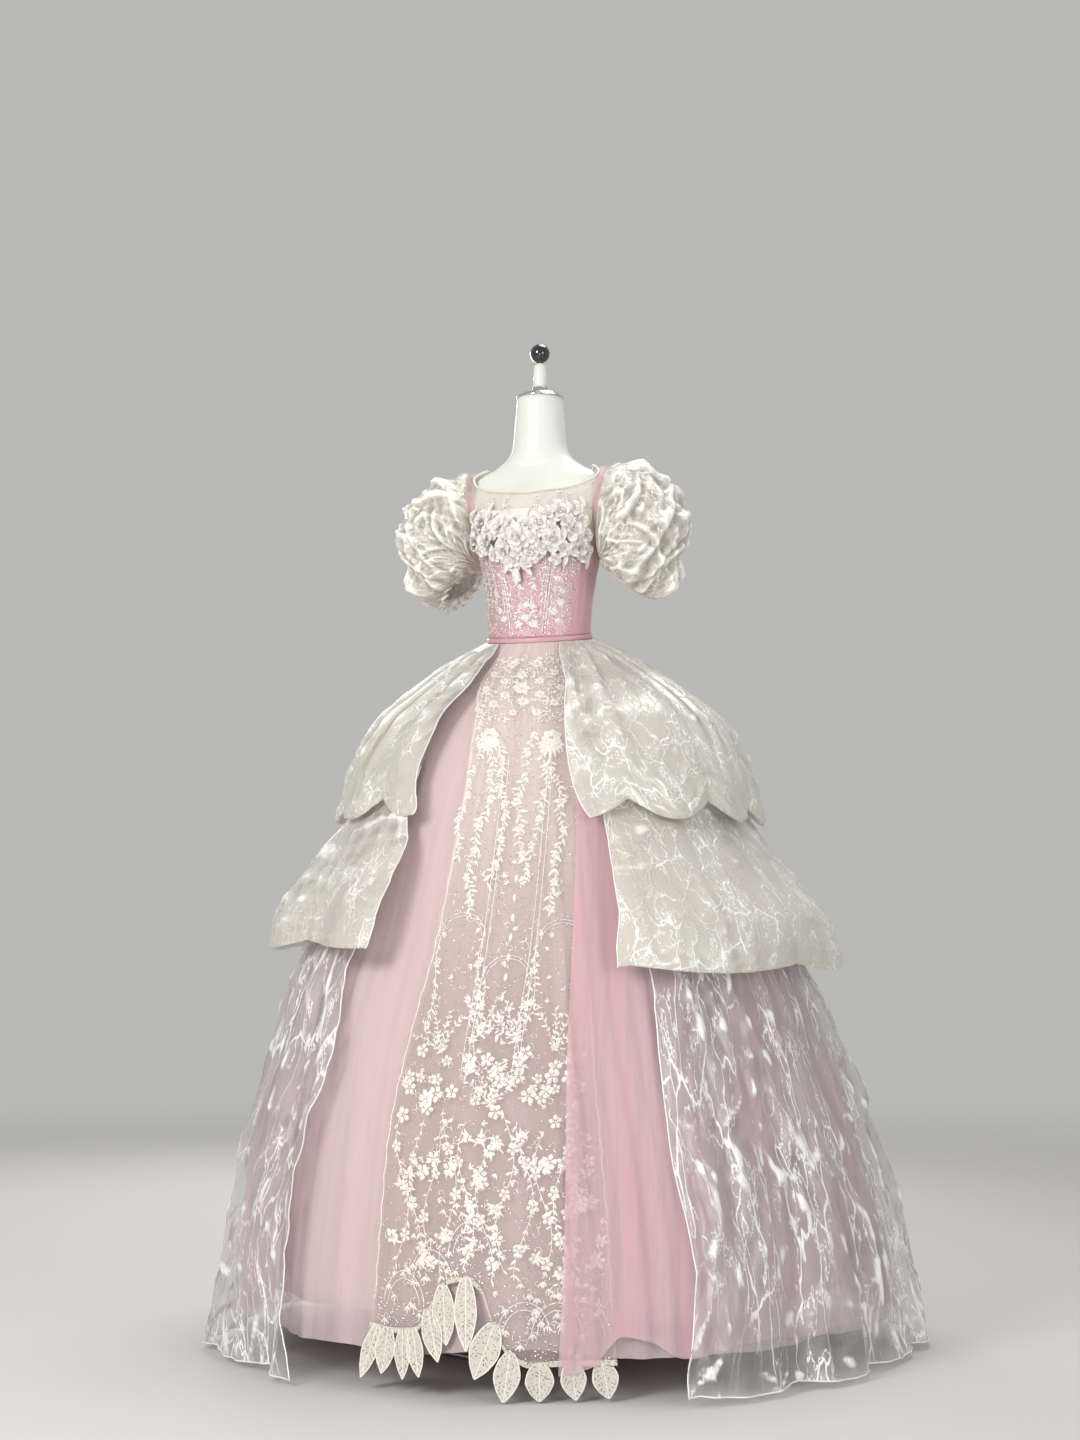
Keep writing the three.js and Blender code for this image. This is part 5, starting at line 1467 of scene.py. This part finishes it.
def add_tiers():
    for number, (rows, shape, (count, columns), look, hem_row, sway, span) in enumerate(TIERS, 1):
        name = f"overskirt_tier_{number}"
        row = np.linspace(0, len(rows["z"]) - 1, count)[:, None]
        share = np.linspace(0, 1, columns)[None]
        u = share * CLOTH_ROUND
        v = -column(rows, "z", "row")(row) + 60 * np.maximum(0, row - hem_row)
        crinkle = crumple(u, v + 0 * u, 300 + number, CREASES[number - 1]) - 4
        swing = sway * (noise(u / 150, v / 190, 320 + number) - 0.5) * ramp(0.5, 2.5, row)
        pleated = radiating(row, share) if number == 1 else 0
        height = ramp(0, 1.0, row) * (np.maximum(crinkle, -2) + pleated)
        points = on_tier(rows, shape, row, share, height + swing)
        cloth = sheet_mesh(f"{name}_organza", points, LOOKS[look])
        # The crest share drives painted highlights on the ridges and painted shade in the creases of the
        # tier.
        mark(cloth, "crest", crest(height, span))
        hem = points[int(np.argmin(np.abs(row[:, 0] - hem_row)))]
        rims = [tube(f"{name}_hem", hem, 1.5, LOOKS["hem"])]
        for end, label in ((0, "left"), (-1, "right")):
            line = np.linspace(0.15, hem_row, 140)
            path = np.stack([np.interp(line, row[:, 0], points[:, end, c]) for c in range(3)], -1)
            rims.append(tube(f"{name}_edge_{label}", path, 1.3, LOOKS["hem"]))
        for rim in rims:
            dress(rim, slot="organza")
        dress(cloth, name, slot="organza", held="gathered", rests_on="tulle_overlay_net",
              with_pieces=rims)


# The beaded lace on the bodice

BODICE_FLOWERS = table("x y r", """
    -2 1352 8, -14 1340 6, 10 1340 7, -44 1352 7, -52 1368 6, 46 1362 7, 58 1380 7, 62 1402 6, 56 1424 6,
    -60 1400 6, 0 1376 6, 52 1344 6""")
NET_SPRIGS = ((-66, 1556, 1.6), (-56, 1556, 1.5), (-38, 1552, 1.3), (-20, 1536, 1.9), (6, 1534, 1.2),
              (24, 1552, 1.8), (50, 1560, 1.5), (64, 1556, 1.4))
BODICE_BEADS, BODICE_LEAVES, BODICE_CURLS = 3500, 420, 190


def bodice_degree(z):
    """Millimetres round the bodice for each degree."""
    return math.pi * (body_side(z) + body_front(z)) / 360


def on_bodice(x, y, high=0.0):
    return off_body(y, x / bodice_degree(y), BODICE_OUT + 0.9 + high)


def covered(x, y):
    """Whether a place lies over the waist seam, on the part of the bodice that is beaded."""
    return y > float(seam_z(x / 1.5)) + 11 and x < mix(76, 100, min((y - 1340) / 120, 1))


def draw_bodice(threads, beads, rng):
    for side in (1, -1):
        z = np.linspace(1320, 1548, 60)
        for gap in (-2.2, 2.2):
            path = np.stack([side * princess(z) * bodice_degree(z) + gap, z], -1)
            threads.line(path, 1.3, 0.9)
            beads.bead_row(path, 3.2, 1.1)
        for k in range(9):
            y = np.linspace(1500 - 3 * k, 1345 + 4 * k, 40)
            path = np.stack([side * (44 + 8 * k - 0.16 * (1500 - y) + 1.5 * np.sin(y / 12)), y], -1)
            if side > 0 and k > 5:
                path = path[:18]
            beads.bead_row(path, 3.6, 1.15)
            if k % 2 == 0:
                threads.vine(path[::2], 12, 8, 400 + k, width=0.9, both=False)
    y = np.linspace(1440, 1330, 30)
    for side in (1, -1):
        threads.vine(np.stack([side * (12 + 3 * np.sin(y / 14)), y], -1), 9, 9, 430, 5, 4, width=1.0)
    for x, y, r in each(BODICE_FLOWERS, "x y r"):
        threads.bloom(x, y, r, 6, rng.uniform(0, 1), 1.8)
        for turn in rng.uniform(0, ANY_TURN, 5):
            threads.blade(x, y, turn, r * 1.3, r * 0.34, 1.2)
    for x, y in strewn(rng, BODICE_BEADS, (-126, 100), (1316, 1540), covered):
        beads.bead(x, y, rng.uniform(0.7, 1.3))
    inside = lambda x, y: covered(x, y - 4)
    for x, y in strewn(rng, BODICE_LEAVES, (-120, 98), (1320, 1500), inside):
        threads.blade(x, y, rng.uniform(0, ANY_TURN), rng.uniform(3, 6), 1.4, 0.9)
    for x, y in strewn(rng, BODICE_CURLS, (-118, 96), (1326, 1450), inside):
        threads.curl(rng, x, y, 2.4, 4.6, 0.8)
    # Bead sprigs on the net above the flowers
    for x, y, turn in NET_SPRIGS:
        path = polar(x, y, 26 * np.linspace(0, 1, 10), turn)
        beads.bead_row(path, 3.4, 1.2)
        threads.vine(path, 7, 6, int(x) + 600, width=0.7)


def add_bodice_lace():
    threads, beads = Drawing(), Drawing()
    draw_bodice(threads, beads, np.random.default_rng(5))
    dress(threads.lay("bodice_motifs", on_bodice, LOOKS["thread"]), slot="lace")
    dress(beads.lay("bodice_beads", on_bodice, LOOKS["silver"]), slot="lace")


# The band of fabric flowers

FLOWERS = table("angle z length turn", """
    -47 1524 24 10, -40 1536 26 70, -36 1498 28 20, -20 1518 28 5, -17 1478 27 55, -3 1500 30 30,
    9 1474 24 45, 15 1522 28 65, 28 1496 28 25, 32 1544 27 50, 45 1514 27 10, 54 1484 25 35""")
SMALL_FLOWERS = table("angle z length turn", """
    -56 1508 15 20, -50 1548 15 50, -28 1538 18 30, -27 1476 17 10, -10 1524 17 60, -9 1462 18 25,
    -4 1478 16 50, 4 1520 16 0, 3 1456 15 40, 18 1484 17 70, 21 1540 16 15, 24 1514 16 45, 38 1528 18 5,
    38 1482 17 30, 52 1530 15 60, 58 1506 15 20, 62 1480 14 55, 44 1552 16 35, -44 1488 16 65,
    -32 1514 16 45, 12 1500 16 20, -14 1496 16 10, 60 1466 13 0, -60 1496 13 30, 30 1462 14 45""")
FLOWER_LEAVES = table("angle z turn length", """
    -9 1452 -75 38, -3 1460 -110 32, -18 1462 -60 30, -55 1518 130 22, -46 1546 100 26, 25 1546 80 28,
    62 1470 -80 30, -7 1446 -95 34, -12 1458 -130 30, 2 1452 -60 28, -30 1550 80 22, 12 1540 60 22,
    40 1466 -100 24, 50 1560 110 22, -50 1494 -140 24""")
RINGS = ((6, 1.0, 14, 6, 4), (5, 0.74, 34, 5, 4), (4, 0.46, 56, 2, 3))  # petals, size, lift, curl and cup
SMALL_RINGS = ((5, 1.0, 18, 3.5, 3), (4, 0.6, 48, 2, 2.5))
FLOWER_OUT = 8.8
PETAL_ROWS, PETAL_COLUMNS = 7, 7


def petal_points(place, turn, length, width, lift, curl, cup, start=1.0):
    """A cupped petal with a curled, rounded end."""
    origin, out, round_it, up = place
    t, rise = math.radians(turn), math.radians(lift)
    along = round_it * math.cos(t) + up * math.sin(t)
    s = np.linspace(0, 1, PETAL_ROWS)[:, None]
    q = np.linspace(-1, 1, PETAL_COLUMNS)[None]
    half = width / 2 * np.sqrt(np.clip(np.sin(math.pi * np.clip(0.1 + 0.86 * s**0.8, 0, 0.985)), 0.03, 1))
    high = length * s * math.sin(rise) + cup * q**2 * np.sin(math.pi * np.clip(s, 0.1, 0.9)) - curl * s**3
    high = high + 0.5 * np.sin(q * 5 + turn) * s
    grid = np.broadcast_arrays(start + length * s * math.cos(rise), q * half, high)
    return origin + sum(g[..., None] * way for g, way in zip(grid, (along, np.cross(out, along), out)))


def add_centre(centres, place, r):
    """Seven seeds in the middle of a flower."""
    origin, out, round_it, up = place
    for k in range(7):
        way = lambda t: round_it * math.cos(t) + up * math.sin(t)
        middle = origin + out * (6 + r) + (0 if k == 6 else r * 1.3) * way(FULL_TURN * k / 6)
        centres.add([*(middle + r * 0.62 * way(t) for t in HEXAGON), middle + out * r * 0.7], CONE)


def add_flowers():
    petals, centres, faces = Batch(), Batch(), quads(PETAL_ROWS, PETAL_COLUMNS)
    for rows, rings, lift_off in ((FLOWERS, RINGS, 1.5), (SMALL_FLOWERS, SMALL_RINGS, 4.5)):
        for angle, z, length, turn in each(rows, "angle z length turn"):
            place = body_frame(z, angle, FLOWER_OUT + lift_off)
            for ring, (count, size, lift, curl, cup) in enumerate(rings):
                for k in range(count):
                    wobble = 5 * math.sin(angle + 3 * k + ring)
                    spin = turn + 360 * (k + 0.5 * ring) / count + wobble
                    long, wide = 0.92 * length * size, length * size * 0.86
                    petals.add(petal_points(place, spin, long, wide, lift + wobble, curl, cup), faces)
            add_centre(centres, place, 0.11 * length)
    for angle, z, turn, length in each(FLOWER_LEAVES, "angle z turn length"):
        place = body_frame(z, angle, FLOWER_OUT + 1)
        petals.add(petal_points(place, turn, length, length * 0.4, 8, 3, 3, -4), faces)
    dress(petals.build("flower_petals", LOOKS["flower"]), "flower_band", slot="flower")
    dress(centres.build("flower_centres", LOOKS["silver"]), slot="flower")


for add in (add_camera, add_lights, add_floor, add_form, add_bodice, add_yoke, add_waistband, add_zip,
            add_sleeves, add_underskirts, add_overlay, add_lace, add_leaf_hem, add_tiers,
            add_bodice_lace, add_flowers):
    add()
